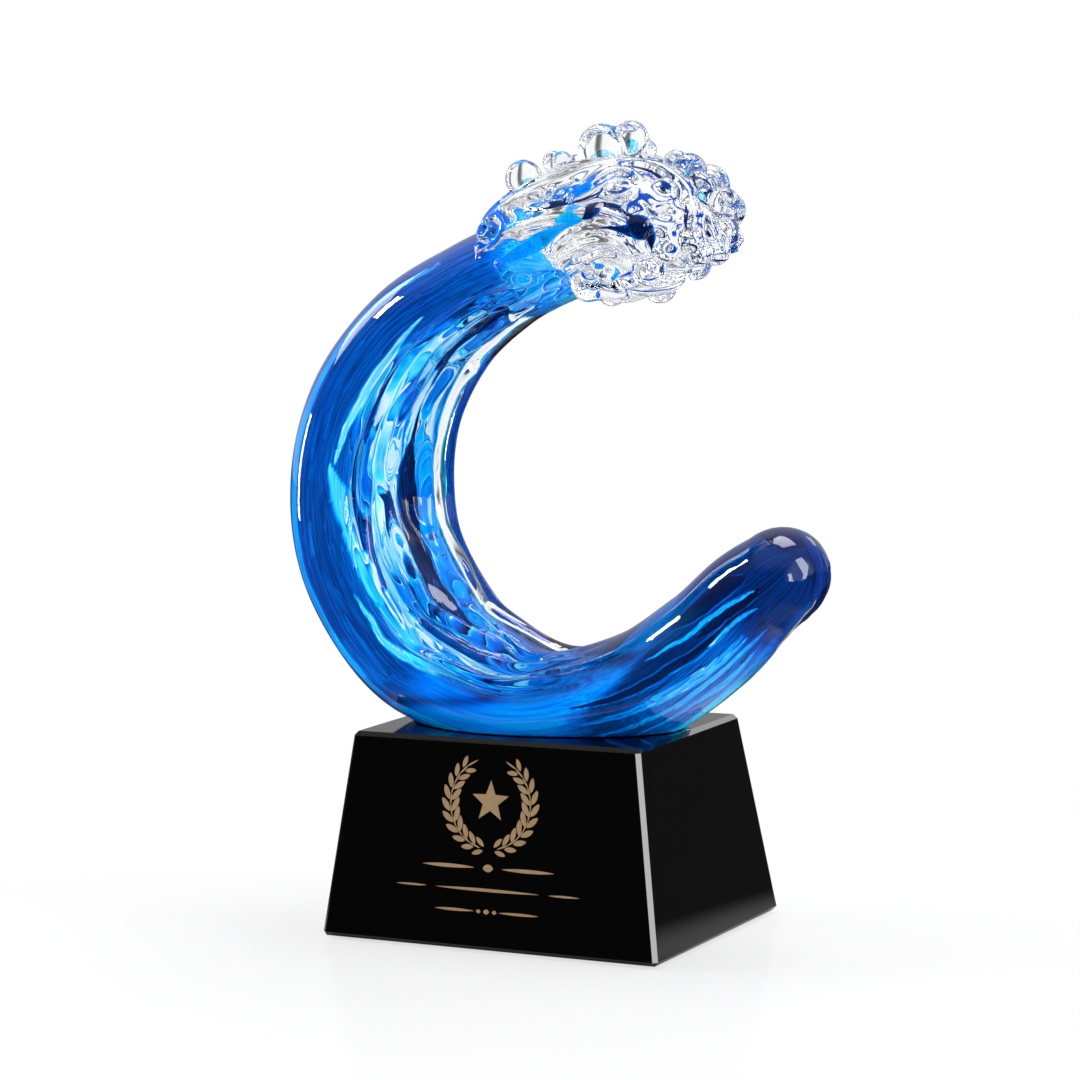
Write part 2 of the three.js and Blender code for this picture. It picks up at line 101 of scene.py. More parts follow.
# The beads and lumps of foam: the share along the crest, where more than 1 is on its round
# end, the angle about it, the radius in millimetres and how far each stands out of the crest
# as a share of its radius. The angle 0 faces down, 90 the front, 180 the sky and 270 the back.
FOAM_BEADS = np.array([
    (0.22, 166, 5.6, 0.5), (0.31, 178, 3.4, 1.0), (0.36, 168, 3.3, 0.6), (0.45, 178, 7.2, 0.45),
    (0.52, 186, 5.2, 1.18), (0.59, 190, 2.8, 1.3), (0.7, 194, 4.0, 0.6), (0.81, 184, 5.6, 0.5),
    (0.94, 176, 5.0, 0.35), (1.17, 172, 4.4, 0.9), (1.28, 142, 3.6, 0.3), (1.27, 60, 4.6, 0.3),
    (1.2, 62, 4.0, 0.3), (1.17, 92, 3.6, 0.3), (1, 68, 4.0, 0.3), (0.72, 356, 5.2, 0.4),
    (0.83, 40, 4.6, 0.35), (0.5, 8, 4.6, 0.35), (0.62, 48, 4.0, 0.3), (0.46, 32, 5.2, 0.35),
    (0.58, 60, 3.4, 0.3), (0.84, 144, 4.0, 0.3), (0.99, 124, 3.4, 0.3), (0.83, 98, 3.2, 0.3),
    (0.14, 60, 2.8, 0.3), (0.08, 70, 2.0, 0.4), (0.3, 204, 5.4, 0.35), (0.44, 222, 6.2, 0.35),
    (0.62, 232, 5.2, 0.35), (0.78, 226, 6.2, 0.35), (0.93, 246, 5.4, 0.35), (0.5, 262, 5.4, 0.35),
    (0.68, 272, 6.2, 0.35), (0.85, 284, 5.4, 0.35), (0.58, 304, 5.6, 0.35), (0.74, 312, 5.2, 0.35),
])

# The curls: the share along the crest, the angle about it, the radius in millimetres, the angle
# where each spiral starts, and how much wider than tall it is
FOAM_CURLS = np.array([
    (0.12, 114, 6.2, 200, 1.15), (0.45, 113, 4.9, 30, 1.4), (0.68, 127, 4.6, 150, 1.1),
    (0.36, 250, 5.4, 80, 1.2), (0.88, 132, 4.2, 20, 1.0), (0.62, 246, 5.0, 200, 1.1),
])

# Folds at the front of the crest: the radius of the fold in millimetres, then the shares along
# the crest and the angles about it
FRONT_FOLDS = (
    (3.2, ((0.08, 134), (0.27, 126), (0.42, 126), (0.52, 142), (0.61, 164))),
    (2.8, ((0.58, 160), (0.72, 168), (0.92, 158), (1.1, 134), (1.16, 104))),
    (2.8, ((0.18, 106), (0.35, 98), (0.49, 98), (0.66, 100), (0.79, 90), (0.85, 62))),
    (1.8, ((0.34, 66), (0.47, 80), (0.59, 88), (0.69, 88), (0.78, 80), (0.83, 60))),
    (1.8, ((0.32, 56), (0.49, 70), (0.61, 78), (0.71, 76), (0.77, 62))),
    (1.8, ((0.3, 46), (0.49, 56), (0.61, 64), (0.7, 60), (0.74, 46))),
    (1.6, ((0.29, 32), (0.52, 44), (0.62, 52), (0.7, 44))),
    (2.0, ((0.44, 110), (0.53, 124), (0.6, 144), (0.68, 146), (0.74, 130), (0.74, 104))),
    (1.6, ((0.75, 106), (0.79, 120), (0.77, 138), (0.7, 158))),
    (2.0, ((0.72, 154), (0.8, 132), (0.87, 124), (0.89, 140), (0.82, 162))),
    (2.4, ((0.78, 122), (0.85, 108), (0.94, 104), (1.01, 118), (1.0, 142))),
    (2.4, ((1.06, 158), (1.2, 134), (1.27, 92), (1.27, 40))),
    (1.3, ((0.99, 106), (1.13, 98), (1.22, 84))),
    (1.3, ((1.09, 126), (1.13, 98), (1.09, 68))),
    (1.3, ((1.0, 80), (1.13, 98), (1.21, 122))),
    (1.8, ((0.08, 88), (0.08, 76), (0.1, 64), (0.16, 60))),
    (1.5, ((0.22, 122), (0.28, 106), (0.24, 94))),
    (5.2, ((0.38, 40), (0.52, 30), (0.62, 16), (0.72, 4))),
    (4.8, ((0.66, 30), (0.76, 16), (0.84, -8))),
    (1.7, ((0.12, 148), (0.26, 144), (0.4, 148), (0.52, 160), (0.6, 176))),
    (1.7, ((0.22, 132), (0.34, 136), (0.46, 144), (0.54, 158))),
    (1.5, ((0.3, 116), (0.36, 108), (0.48, 100), (0.58, 106), (0.64, 112))),
    (2.2, ((0.02, 106), (0.06, 124), (0.1, 142), (0.2, 156))),
    (2.0, ((0.9, 104), (0.98, 96), (1.04, 84), (1.04, 60))),
    (1.8, ((0.94, 150), (1.04, 140), (1.12, 122), (1.14, 100))),
    (2.8, ((0.14, 285), (0.3, 292), (0.46, 284), (0.6, 290))),
)

# Veils of coloured glass under the skin of the crest: the half width in millimetres, how pale
# the middle and the rim are, then the shares along the crest and the angles about it
CREST_VEILS = (
    (2.9, 0.0, 0.75, ((0.7, 108), (0.79, 97), (0.85, 84), (0.86, 58))),
    (1.0, 0.1, 0.5, ((0.62, 90), (0.72, 92), (0.8, 82), (0.84, 62))),
    (1.9, 0.06, 0.55, ((0.54, 100), (0.64, 111), (0.69, 109), (0.74, 100))),
    (1.9, 0.03, 0.45, ((0.54, 160), (0.6, 174), (0.68, 172), (0.8, 162), (0.88, 150))),
    (1.2, 0.35, 0.6, ((0.6, 150), (0.68, 157), (0.76, 154))),
    (1.1, 0.5, 0.7, ((0.24, 118), (0.4, 119), (0.51, 133), (0.58, 152))),
    (0.8, 0.1, 0.45, ((0.3, 108), (0.41, 110), (0.52, 118), (0.6, 130))),
    (1.4, 0.1, 0.5, ((0.8, 186), (0.88, 188), (0.98, 182), (1.08, 166))),
    (0.8, 0.06, 0.35, ((0.79, 160), (0.91, 148), (1.06, 130), (1.15, 106))),
    (1.3, 0.05, 0.5, ((0.96, 204), (1.08, 200), (1.18, 190))),
    (2.6, 0.6, 0.8, ((0.05, 88), (0.2, 82), (0.34, 84), (0.46, 94), (0.54, 100))),
    (1.0, 0.35, 0.55, ((0.6, 24), (0.66, 28), (0.74, 38))),
    (1.0, 0.36, 0.5, ((0.46, 34), (0.46, 24), (0.42, 10))),
    (1.6, 0.2, 0.5, ((0.3, 168), (0.4, 184), (0.52, 196))),
    (1.8, 0.1, 0.5, ((0.4, 230), (0.55, 250), (0.7, 262), (0.85, 270))),
    (1.6, 0.45, 0.6, ((0.1, 150), (0.22, 166), (0.32, 176))),
    (1.8, 0.3, 0.55, ((0.2, 282), (0.4, 296), (0.6, 300))),
)

# Ropes of glass drawn along the trough: the half width in degrees about the limb, the height in
# millimetres, then the angles about the limb at even steps from its upper end to where the tail
# starts
TROUGH_ROPES = (
    (7, 2.7, (108, 105, 110, 107, 111, 111, 118, 126)),
    (7, 2.1, (118, 119, 121, 126, 121, 120, 125, 134)),
    (7, 2.4, (128, 126, 131, 133, 146, 144, 157, 172)),
    (6, 1.8, (140, 136, 141, 143, 134, 132, 138, 150)),
    (11, 2.7, (158, 160, 165, 171, 174, 176, 171, 168)),
    (8, 2.2, (176, 186, 192, 197, 196, 199, 205, 210)),
)
TAIL_START = 0.7

# Streaks drawn along the core, each over those before it, partly streaks of coloured glass and
# partly painted light: in the trough the pale ones stand in for light coming through thin ridges
# of glass and the dark ones for shade in its valleys. Columns: the half width in degrees about
# the limb, how pale it is from 0, midnight, to 1, foam, then the shares along the wave and the
# angles about it. The last ones lie in the tail, where the darkest, at its tip, are partly
# painted shade.
CORE_STREAKS_AND_PAINTED_LIGHT = (
    (6, 0.56, ((0.08, 48), (0.3, 50), (0.5, 50), (0.66, 46))),
    (9, 0.55, ((0.12, 120), (0.2, 118), (0.28, 122), (0.36, 128), (0.44, 128))),
    (3.4, 0.84, ((0.12, 101), (0.19, 106), (0.23, 106), (0.27, 104), (0.31, 101))),
    (9, 0.78, ((0.31, 97), (0.34, 106), (0.38, 115), (0.42, 118), (0.47, 114))),
    (9, 0.88, ((0.1, 136), (0.17, 132), (0.22, 132), (0.28, 138), (0.34, 145), (0.38, 139),
               (0.43, 134), (0.47, 125), (0.53, 130), (0.6, 135), (0.68, 140))),
    (5, 0.24, ((0.27, 118), (0.32, 117), (0.37, 123), (0.42, 127), (0.46, 122))),
    (6, 0.18, ((0.18, 119), (0.22, 121), (0.28, 126))),
    (6, 0.1, ((0.34, 148), (0.38, 150), (0.43, 143))),
    (6, 0.3, ((0.16, 148), (0.21, 150), (0.26, 152))),
    (5, 0.2, ((0.5, 140), (0.56, 146), (0.64, 150))),
    (16, 0.03, ((0.03, 156), (0.1, 162), (0.17, 172), (0.22, 180), (0.28, 180), (0.33, 174),
                (0.38, 168), (0.44, 166), (0.52, 164))),
    (8, 0.1, ((0.47, 168), (0.53, 172), (0.6, 178), (0.68, 184))),
    (4, 0.95, ((0.22, 148), (0.27, 152), (0.31, 156), (0.36, 158), (0.41, 156), (0.45, 152))),
    (7, 0.84, ((0.39, 152), (0.43, 148), (0.47, 146))),
    (8, 0.7, ((0.47, 113), (0.52, 119), (0.57, 119), (0.61, 115))),
    (3, 0.8, ((0.45, 99), (0.52, 102), (0.58, 106), (0.64, 112))),
    (12, 0.57, ((0.17, 198), (0.27, 198), (0.34, 200), (0.38, 204), (0.42, 206))),
    (10, 0.5, ((0.4, 206), (0.46, 202), (0.52, 203), (0.6, 206))),
    (3, 1.0, ((0.04, 142), (0.1, 148), (0.16, 154), (0.22, 160), (0.28, 160))),
    (3, 1.0, ((0.1, 182), (0.18, 190), (0.24, 188), (0.3, 188), (0.38, 190))),
    (3, 0.95, ((0.38, 186), (0.43, 186), (0.48, 188), (0.54, 190), (0.62, 196))),
    # The dark streaks towards the tail's tip are partly navy glass and partly painted shade.
    (6, 0.1, ((0.72, 84), (0.8, 76), (0.88, 68), (0.95, 66))),
    (14, 0.06, ((0.84, 118), (0.9, 110), (0.98, 104))),
    (9, 0.08, ((0.86, 84), (0.92, 78), (0.99, 74))),
    (2.2, 0.7, ((0.86, 66), (0.91, 62), (0.96, 54))),
    (2.6, 0.75, ((0.8, 100), (0.87, 92), (0.94, 82), (0.98, 78))),
    (3.4, 0.46, ((0.72, 62), (0.78, 55), (0.84, 47), (0.9, 42))),
    (3.0, 0.5, ((0.73, 40), (0.8, 32), (0.88, 24), (0.93, 20))),
    (2.4, 0.5, ((0.77, 52), (0.84, 40), (0.9, 33))),
    (2.4, 0.42, ((0.75, 24), (0.82, 15), (0.9, 8))),
)


def length_property(name, description, default):
    """A length in metres."""
    return FloatProperty(name=name, description=description, default=default, unit="LENGTH")


def colour_property(name, description, default):
    """A colour as red, green and blue from 0 to 1, in linear light."""
    return FloatVectorProperty(
        name=name, description=description, default=default, subtype="COLOR", size=3, min=0, max=1)


class AwardSizes(bpy.types.PropertyGroup):
    """Sizes of the award that a user would change."""

    curl_radius: length_property("Curl radius", "Radius of the wave's curl at its back", 0.0575)
    limb_thickness: length_property(
        "Limb thickness", "Thickness of the wave's wall at the back of the curl", 0.045)
    limb_depth: length_property("Limb depth", "Depth of the wave from front to back", 0.06)
    ground_off: length_property("Ground off", "Glass ground off the wave for its flat foot", 0.009)
    crest_length: length_property("Crest length", "Length of the crest past the limb's end", 0.054)
    crest_rise: length_property("Crest rise", "Rise of the crest above the limb's end", 0.012)
    crest_thickness: length_property("Crest thickness", "Thickness of the crest", 0.036)
    crest_depth: length_property("Crest depth", "Depth of the crest from front to back", 0.058)
    base_bottom_depth: length_property(
        "Base bottom depth", "Depth of the base's bottom from front to back", 0.0825)
    base_top_depth: length_property(
        "Base top depth", "Depth of the base's top from front to back", 0.066)
    voxel: length_property(
        "Crest fineness", "Voxel size at which the crest's pieces are fused", 0.00064)


class AwardColours(bpy.types.PropertyGroup):
    """Colours of the award's glasses and finishes."""

    midnight: colour_property("Midnight", "Darkest streaks of the core", (0.0, 0.006, 0.045))
    navy: colour_property("Navy", "Dark veils of the core", (0.0, 0.042, 0.28))
    cobalt: colour_property("Cobalt", "Body of the core", (0.0, 0.17, 0.88))
    azure: colour_property("Azure", "Light veils of the core", (0.0, 0.48, 0.95))
    cyan: colour_property("Cyan", "Brightest streaks of the core", (0.08, 0.8, 1.0))
    foam: colour_property("Foam", "Rims of the core's streaks", (0.8, 0.96, 1.0))
    gilt: colour_property("Gilt", "Fill of the engraved ornament", (0.55, 0.36, 0.19))


# Shader building

class Socket:
    """A shader node's output that can be used in arithmetic, each step adding a Math node."""

    def __init__(self, finish, output):
        self.finish = finish
        self.output = output

    def math(self, operation, *others):
        return self.finish.node("ShaderNodeMath", {"operation": operation}, self, *others)

    def __add__(self, other):
        return self.math("ADD", other)

    def __mul__(self, other):
        return self.math("MULTIPLY", other)

    __radd__ = __add__
    __rmul__ = __mul__

    def __sub__(self, other):
        return self.math("SUBTRACT", other)

    def __rsub__(self, other):
        return self.finish.node("ShaderNodeMath", {"operation": "SUBTRACT"}, other, self)

    def smooth(self, low, high):
        """Rises smoothly from 0 at low to 1 at high."""
        settings = {"interpolation_type": "SMOOTHSTEP"}
        return self.finish.node("ShaderNodeMapRange", settings, self, low, high, 0.0, 1.0)


class Finish:
    """A node tree in the making, of a material or of the world."""

    def __init__(self, owner):
        owner.use_nodes = True
        self.owner = owner
        self.tree = owner.node_tree
        self.tree.nodes.clear()

    def put(self, socket, value):
        if isinstance(value, Socket):
            self.tree.links.new(value.output, socket)
        elif hasattr(value, "__len__"):
            colour = len(socket.default_value) == 4
            socket.default_value = (*value, 1.0) if colour else value
        else:
            socket.default_value = value

    def node(self, kind, settings=None, *inputs, output=0, **named):
        """Adds one node: its settings first, then its sockets by place or by name."""
        node = self.tree.nodes.new(kind)
        for key, value in (settings or {}).items():
            if key == "stops":
                set_stops(node.color_ramp, value)
            else:
                setattr(node, key, value)
        for place, value in enumerate(inputs):
            self.put(node.inputs[place], value)
        for name, value in named.items():
            self.put(node.inputs[name.replace("_", " ")], value)
        return Socket(self, node.outputs[output])

    def blend(self, share, first, second):
        """A colour between two colours."""
        node = self.tree.nodes.new("ShaderNodeMix")
        node.data_type = "RGBA"
        self.put(node.inputs[0], share)
        self.put(node.inputs[6], first)
        self.put(node.inputs[7], second)
        return Socket(self, node.outputs[2])

    def place(self):
        """Object coordinates."""
        return self.node("ShaderNodeTexCoord", output=3)

    def attribute(self, name, output=2):
        """A piece's own attribute: as a number, or as a vector at output 1."""
        return self.node("ShaderNodeAttribute", {"attribute_name": name}, output=output)

    def noise(self, vector, scale, detail=2.0, roughness=0.5, distortion=0.0):
        return self.node(
            "ShaderNodeTexNoise", None, vector, Scale=scale, Detail=detail,
            Roughness=roughness, Distortion=distortion)

    def bump(self, height, distance):
        return self.node("ShaderNodeBump", None, Strength=1.0, Distance=distance, Height=height)

    def surface(self, shader):
        kind = "World" if isinstance(self.owner, bpy.types.World) else "Material"
        self.end = self.tree.nodes.new("ShaderNodeOutput" + kind)
        self.tree.links.new(shader.output, self.end.inputs["Surface"])

    def volume(self, shader):
        self.tree.links.new(shader.output, self.end.inputs["Volume"])


def set_stops(ramp, stops):
    while len(ramp.elements) > len(stops):
        ramp.elements.remove(ramp.elements[-1])
    while len(ramp.elements) < len(stops):
        ramp.elements.new(0.5)
    for element, (position, colour) in zip(ramp.elements, stops):
        element.position = position
        element.color = (*colour, 1.0)


def new_material(name):
    return Finish(bpy.data.materials.new(name))


def clear_glass_finish():
    """Fire-polished clear glass with the faintest blue, its skin a little uneven."""
    finish = new_material("clear_glass")
    place = finish.place()
    waver = finish.noise(place, 60.0, 2.0)
    tint = finish.blend(waver, (0.98, 0.993, 1.0), (1.0, 1.0, 1.0))
    fine = finish.noise(place, 180.0, 2.0)
    glass = finish.node(
        "ShaderNodeBsdfPrincipled", None, Base_Color=tint, Roughness=0.0, IOR=1.5,
        Transmission_Weight=1.0, Normal=finish.bump(fine, 0.00004))
    finish.surface(glass)
    return finish.owner


def core_finish(colours, name, density):
    """Streaked blue glass that lies in the clear glass: no bending of light where the two
    meet, and blue that deepens with the thickness. The streaks follow the contour lines of a
    noise that is stretched along the limb, each with a dark side and a bright rim. The
    attribute light says how pale the glass is, veil how strong its streaks are and body how
    cloudy it is."""
    finish = new_material(name)
    depth_colour = (0.2, 0.8, 0.96)
    flow = finish.attribute("flow", output=1)
    light = finish.attribute("light")
    veil = finish.attribute("veil")
    body = finish.attribute("body")
    field = finish.noise(flow, 1.7, 2.0, 0.5, 0.5)
    mottle = finish.noise(flow, 6.0, 2.0, 0.5, 0.6)
    streak = finish.node("ShaderNodeValToRGB", {"stops": [
        (0.0, grey(0.5)), (0.25, grey(0.34)), (0.44, grey(0.06)), (0.48, grey(0.92)),
        (0.53, grey(0.8)), (0.6, grey(0.58)), (1.0, grey(0.5)),
    ]}, (field * 11.0).math("FRACT"))
    level = light + (streak - 0.5) * veil + (mottle - 0.5) * (0.42 - veil * 0.24)
    tint = finish.node("ShaderNodeValToRGB", {"stops": [
        (0.0, colours.midnight), (0.2, colours.navy), (0.42, colours.cobalt),
        (0.65, colours.azure), (0.85, colours.cyan), (1.0, colours.foam),
    ]}, level)
    glass = finish.node(
        "ShaderNodeBsdfPrincipled", None, Base_Color=tint, Roughness=0.0, IOR=1.01,
        Transmission_Weight=1.0, Specular_IOR_Level=0.0)
    cloudy = finish.node(
        "ShaderNodeBsdfPrincipled", None, Base_Color=tint, Roughness=0.6, IOR=1.01,
        Specular_IOR_Level=0.0)
    finish.surface(finish.node("ShaderNodeMixShader", None, body, glass, cloudy))
    finish.volume(finish.node("ShaderNodeVolumeAbsorption", None, depth_colour, density))
    return finish.owner


def grey(value):
    return (value, value, value)


def toned_finish(name, scale, tones, roughness, uneven=0.0, relief=0.0, detail=2.0, **shader):
    """A material whose colour lies between two tones by a noise in object coordinates, which
    may also make its polish uneven or raise its surface."""
    finish = new_material(name)
    noise = finish.noise(finish.place(), scale, detail)
    if relief:
        shader["Normal"] = finish.bump(noise, relief)
    surface = finish.node(
        "ShaderNodeBsdfPrincipled", None, Base_Color=finish.blend(noise, *tones),
        Roughness=noise * uneven + roughness if uneven else roughness, **shader)
    finish.surface(surface)
    return finish.owner


def black_crystal_finish():
    """Polished black crystal: nearly black and mirror smooth."""
    tones = (0.0004, 0.0004, 0.0005), (0.0009, 0.0009, 0.0012)
    return toned_finish("black_crystal_polish", 30.0, tones, 0.01, uneven=0.02, detail=3.0, IOR=1.52)


def felt_finish():
    """Short black felt."""
    tones = grey(0.012), grey(0.05)
    return toned_finish("black_felt_nap", 2500.0, tones, 0.95, relief=0.0001, IOR=1.4)


def resin_finish():
    """Clear cured resin."""
    tones = (0.9, 0.96, 1.0), (0.98, 0.99, 1.0)
    return toned_finish("clear_resin", 80.0, tones, 0.02, IOR=1.5, Transmission_Weight=1.0)


def bubble_finish():
    """The mirror-bright wall of an air bubble in glass."""
    tones = (0.85, 0.95, 1.0), grey(1.0)
    return toned_finish("air_bubble", 900.0, tones, 0.0, IOR=1.6, Transmission_Weight=1.0)


def gilt_finish(colours):
    """Tan-gold paint in a blasted engraving: matt, with a fine sandy grain."""
    finish = new_material("gilt_fill")
    grain = finish.noise(finish.place(), 5000.0, 2.0)
    patch = finish.noise(finish.place(), 400.0, 2.0)
    dark = tuple(0.72 * c for c in colours.gilt)
    tint = finish.blend(grain * 0.5 + patch * 0.5, dark, colours.gilt)
    gilt = finish.node(
        "ShaderNodeBsdfPrincipled", None, Base_Color=tint, Roughness=grain * 0.2 + 0.5,
        Metallic=0.15, Normal=finish.bump(grain, 0.00003))
    finish.surface(gilt)
    return finish.owner


# Shapes

def spline(points, share):
    """A smooth line through the points: a uniform Catmull-Rom curve, its ends reflected."""
    count = len(points) - 1
    padded = np.vstack([2 * points[0] - points[1], points, 2 * points[-1] - points[-2]])
    place = np.clip(np.asarray(share, float) * count, 0, count - 1e-9)
    start = place.astype(int)
    t = (place - start)[..., None]
    a, b, c, d = (padded[start + k] for k in range(4))
    square, cube = 2 * a - 5 * b + 4 * c - d, 3 * b - a - 3 * c + d
    return 0.5 * (2 * b + (c - a) * t + square * t**2 + cube * t**3)


def unit(vectors):
    return vectors / np.linalg.norm(vectors, axis=-1, keepdims=True)


def lattice_noise(seed, *places, wrap=0):
    """Smooth random values from -1 to 1 over one or two places. The last repeats every wrap."""
    size = 64
    values = np.random.default_rng(seed).uniform(-1, 1, (size,) * len(places))
    low = [np.floor(p).astype(int) for p in places]
    part = [p - l for p, l in zip(places, low)]
    ease = [q * q * q * (q * (q * 6 - 15) + 10) for q in part]
    total = 0
    for corner in range(2 ** len(places)):
        steps = [(corner >> k) & 1 for k in range(len(places))]
        index = [(l + s) % size for l, s in zip(low, steps)]
        if wrap:
            index[-1] = (low[-1] + steps[-1]) % wrap
        weight = 1
        for e, s in zip(ease, steps):
            weight = weight * (e if s else 1 - e)
        total = total + weight * values[tuple(index)]
    return total


def rise(value, low, high):
    """0 below low, 1 above high and a smooth rise between."""
    t = np.clip((value - low) / (high - low), 0, 1)
    return t * t * (3 - 2 * t)


class Limb:
    """A limb of glass: an oval section of changing size carried along a smooth line in the
    XZ plane. A point is centre - left * thick * cos(angle) - Y * deep * sin(angle)."""

    def __init__(self, line, thick, deep):
        self.stations = np.column_stack([line, thick, deep])

    def section(self, share):
        step = 1e-3
        values = spline(self.stations, share)
        ahead = spline(self.stations, np.minimum(np.asarray(share) + step, 1))[..., :3]
        behind = spline(self.stations, np.maximum(np.asarray(share) - step, 0))[..., :3]
        direction = (ahead - behind) * (1, 0, 1)
        direction = unit(direction)
        left = np.stack([-direction[..., 2], 0 * direction[..., 0], direction[..., 0]], -1)
        return values[..., :3], values[..., 3], values[..., 4], direction, left

    def skin(self, share, angle, push=0.0, shrink=1.0):
        """Points of the skin and the directions out of it, push and shrink making round ends."""
        centre, thick, deep, direction, left = self.section(share)
        c, s = np.cos(angle), np.sin(angle)
        back = np.array([0.0, 1.0, 0.0])
        across = left * (-c * thick * shrink)[..., None] - back * (s * deep * shrink)[..., None]
        point = centre + direction * (push * thick)[..., None] + across
        outward = left * (-c / thick)[..., None] - back * (s / deep)[..., None]
        shrink, push = (np.asarray(v)[..., None] for v in (shrink, push))
        return point, unit(unit(outward) * shrink + direction * push)

    def rows(self, count, caps):
        """Shares, pushes and shrinks of the rings from one round end to the other."""
        bend = np.linspace(0, math.pi / 2, caps + 2)[1:-1]
        share = np.concatenate([np.zeros(caps), np.linspace(0, 1, count), np.ones(caps)])
        push = np.concatenate([-np.sin(bend[::-1]), np.zeros(count), np.sin(bend)])
        shrink = np.concatenate([np.cos(bend[::-1]), np.ones(count), np.cos(bend)])
        return share, push, shrink

    def pole(self, share, side):
        centre, thick, _, direction, _ = self.section(np.array([share]))
        return centre + direction * side * thick[:, None]

    def length(self):
        line = spline(self.stations, np.linspace(0, 1, 400))[:, :3]
        return np.linalg.norm(np.diff(line, axis=0), axis=1).sum()


def wave_limb(sizes):
    """The wave: its stations in polar form about the curl's centre, which stands over the foot
    so that the set amount of glass is ground off."""
    radius = sizes.curl_radius / MM
    thickness = sizes.limb_thickness / MM
    depth = sizes.limb_depth / MM
    angle, reach, thick, deep = WAVE_STATIONS.T
    low = WAVE_STATIONS[LOWEST_STATION]
    centre = foot_height() + low[2] * thickness / 2 - sizes.ground_off / MM + low[1] * radius
    turn = np.radians(angle)
    reach = reach * radius
    line = np.stack([reach * np.cos(turn), 0 * turn, centre + reach * np.sin(turn)], -1)
    return Limb(line, thick * thickness / 2, deep * depth / 2)


def foot_height():
    """Where the wave's ground foot lies: the top of the adhesive film."""
    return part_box("adhesive_film")[1].z / MM


def crest_limb(sizes):
    """The crest's gather, measured from the limb's upper end."""
    wave = wave_limb(sizes)
    start = wave.stations[0, :3]
    along, up, thick, deep = CREST_STATIONS.T
    line = start + np.stack([along * sizes.crest_length, 0 * along, up * sizes.crest_rise], -1) / MM
    return Limb(line, thick * sizes.crest_thickness / MM / 2, deep * sizes.crest_depth / MM / 2)


def closed_mesh(name, rings, first, last, attributes=None):
    """A mesh of closed skins. rings holds, for each skin, rings of points, each ring closed,
    and first and last are the points that close its two ends. Faces are turned outwards."""
    skins, rows, cols, _ = rings.shape
    size = rows * cols + 2
    points = np.concatenate([first[:, None], rings.reshape(skins, -1, 3), last[:, None]], 1)
    row, col = np.meshgrid(np.arange(rows - 1), np.arange(cols), indexing="ij")
    beside = (col + 1) % cols
    here, up = 1 + row * cols, 1 + (row + 1) * cols
    quads = np.stack([here + col, here + beside, up + beside, up + col], -1).reshape(-1, 4)
    side = np.arange(cols)
    other = (side + 1) % cols
    near = np.stack([0 * side, 1 + other, 1 + side], -1)
    far = np.stack([0 * side + size - 1, size - 1 - cols + side, size - 1 - cols + other], -1)
    fans = np.concatenate([near, far])
    corners = np.concatenate([fans, quads[:, [0, 1, 2]], quads[:, [0, 2, 3]]])
    a, b, c = (points[0][corners[:, k]] for k in range(3))
    if np.einsum("ij,ij->", a, np.cross(b, c)) < 0:
        quads, fans = quads[:, ::-1], fans[:, ::-1]
    offset = (np.arange(skins) * size)[:, None, None]
    faces = (quads[None] + offset).reshape(-1, 4).tolist()
    faces += (fans[None] + offset).reshape(-1, 3).tolist()
    mesh = bpy.data.meshes.new(name)
    mesh.from_pydata((points.reshape(-1, 3) * MM).tolist(), [], faces)
    mesh.polygons.foreach_set("use_smooth", np.ones(len(mesh.polygons), bool))
    for key, values in (attributes or {}).items():
        store_attribute(mesh, key, values)
    mesh.update()
    return mesh


def store_attribute(mesh, key, values):
    """Puts one value or vector at each point of a mesh."""
    kind = "FLOAT_VECTOR" if values.ndim == 2 else "FLOAT"
    data = mesh.attributes.new(key, kind, "POINT").data
    data.foreach_set("vector" if values.ndim == 2 else "value", values.astype(np.float32).ravel())


def add_object(name, mesh, material=None):
    obj = bpy.data.objects.new(name, mesh)
    bpy.context.scene.collection.objects.link(obj)
    if material:
        mesh.materials.clear()
        mesh.materials.append(material)
    return obj


def settle(obj, name, material):
    """Replaces an object and its modifiers by the finished mesh."""
    depsgraph = bpy.context.evaluated_depsgraph_get()
    mesh = bpy.data.meshes.new_from_object(obj.evaluated_get(depsgraph))
    mesh.name = name
    mesh.polygons.foreach_set("use_smooth", np.ones(len(mesh.polygons), bool))
    bpy.data.objects.remove(obj)
    return add_object(name, mesh, material)


def finish_piece(obj, slot, *nodes):
    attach(obj, BODY)
    if nodes:
        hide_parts(*nodes)


def ring_angles(*spans):
    """Angles about the limb in spans of first, last and count, closer where there is more to
    show."""
    return np.radians(np.concatenate([np.linspace(*span, endpoint=False) for span in spans]))


def limb_rings(limb, rows, angles, lift=None):
    """All the rings of a limb's skin, moved out by lift(share, angle) where it is given."""
    share, push, shrink = (v[:, None] for v in rows)
    angle = angles[None, :] + 0 * share
    share, push, shrink = (v + 0 * angle for v in (share, push, shrink))
    points, outward = limb.skin(share, angle, push, shrink)
    if lift is not None:
        points = points + outward * (lift(share, angle) * shrink)[..., None]
    return points


def across(angle, low, high, soft):
    """1 between two angles in degrees about the limb, 0 outside them, smooth at both."""
    degrees = np.degrees(angle) % 360
    return rise(degrees, low - soft, low + soft) * (1 - rise(degrees, high - soft, high + soft))


def ridged(values):
    """Sharp crests out of smooth noise: 1 on the lines where the noise is nought."""
    return 1 - 2 * np.abs(values)


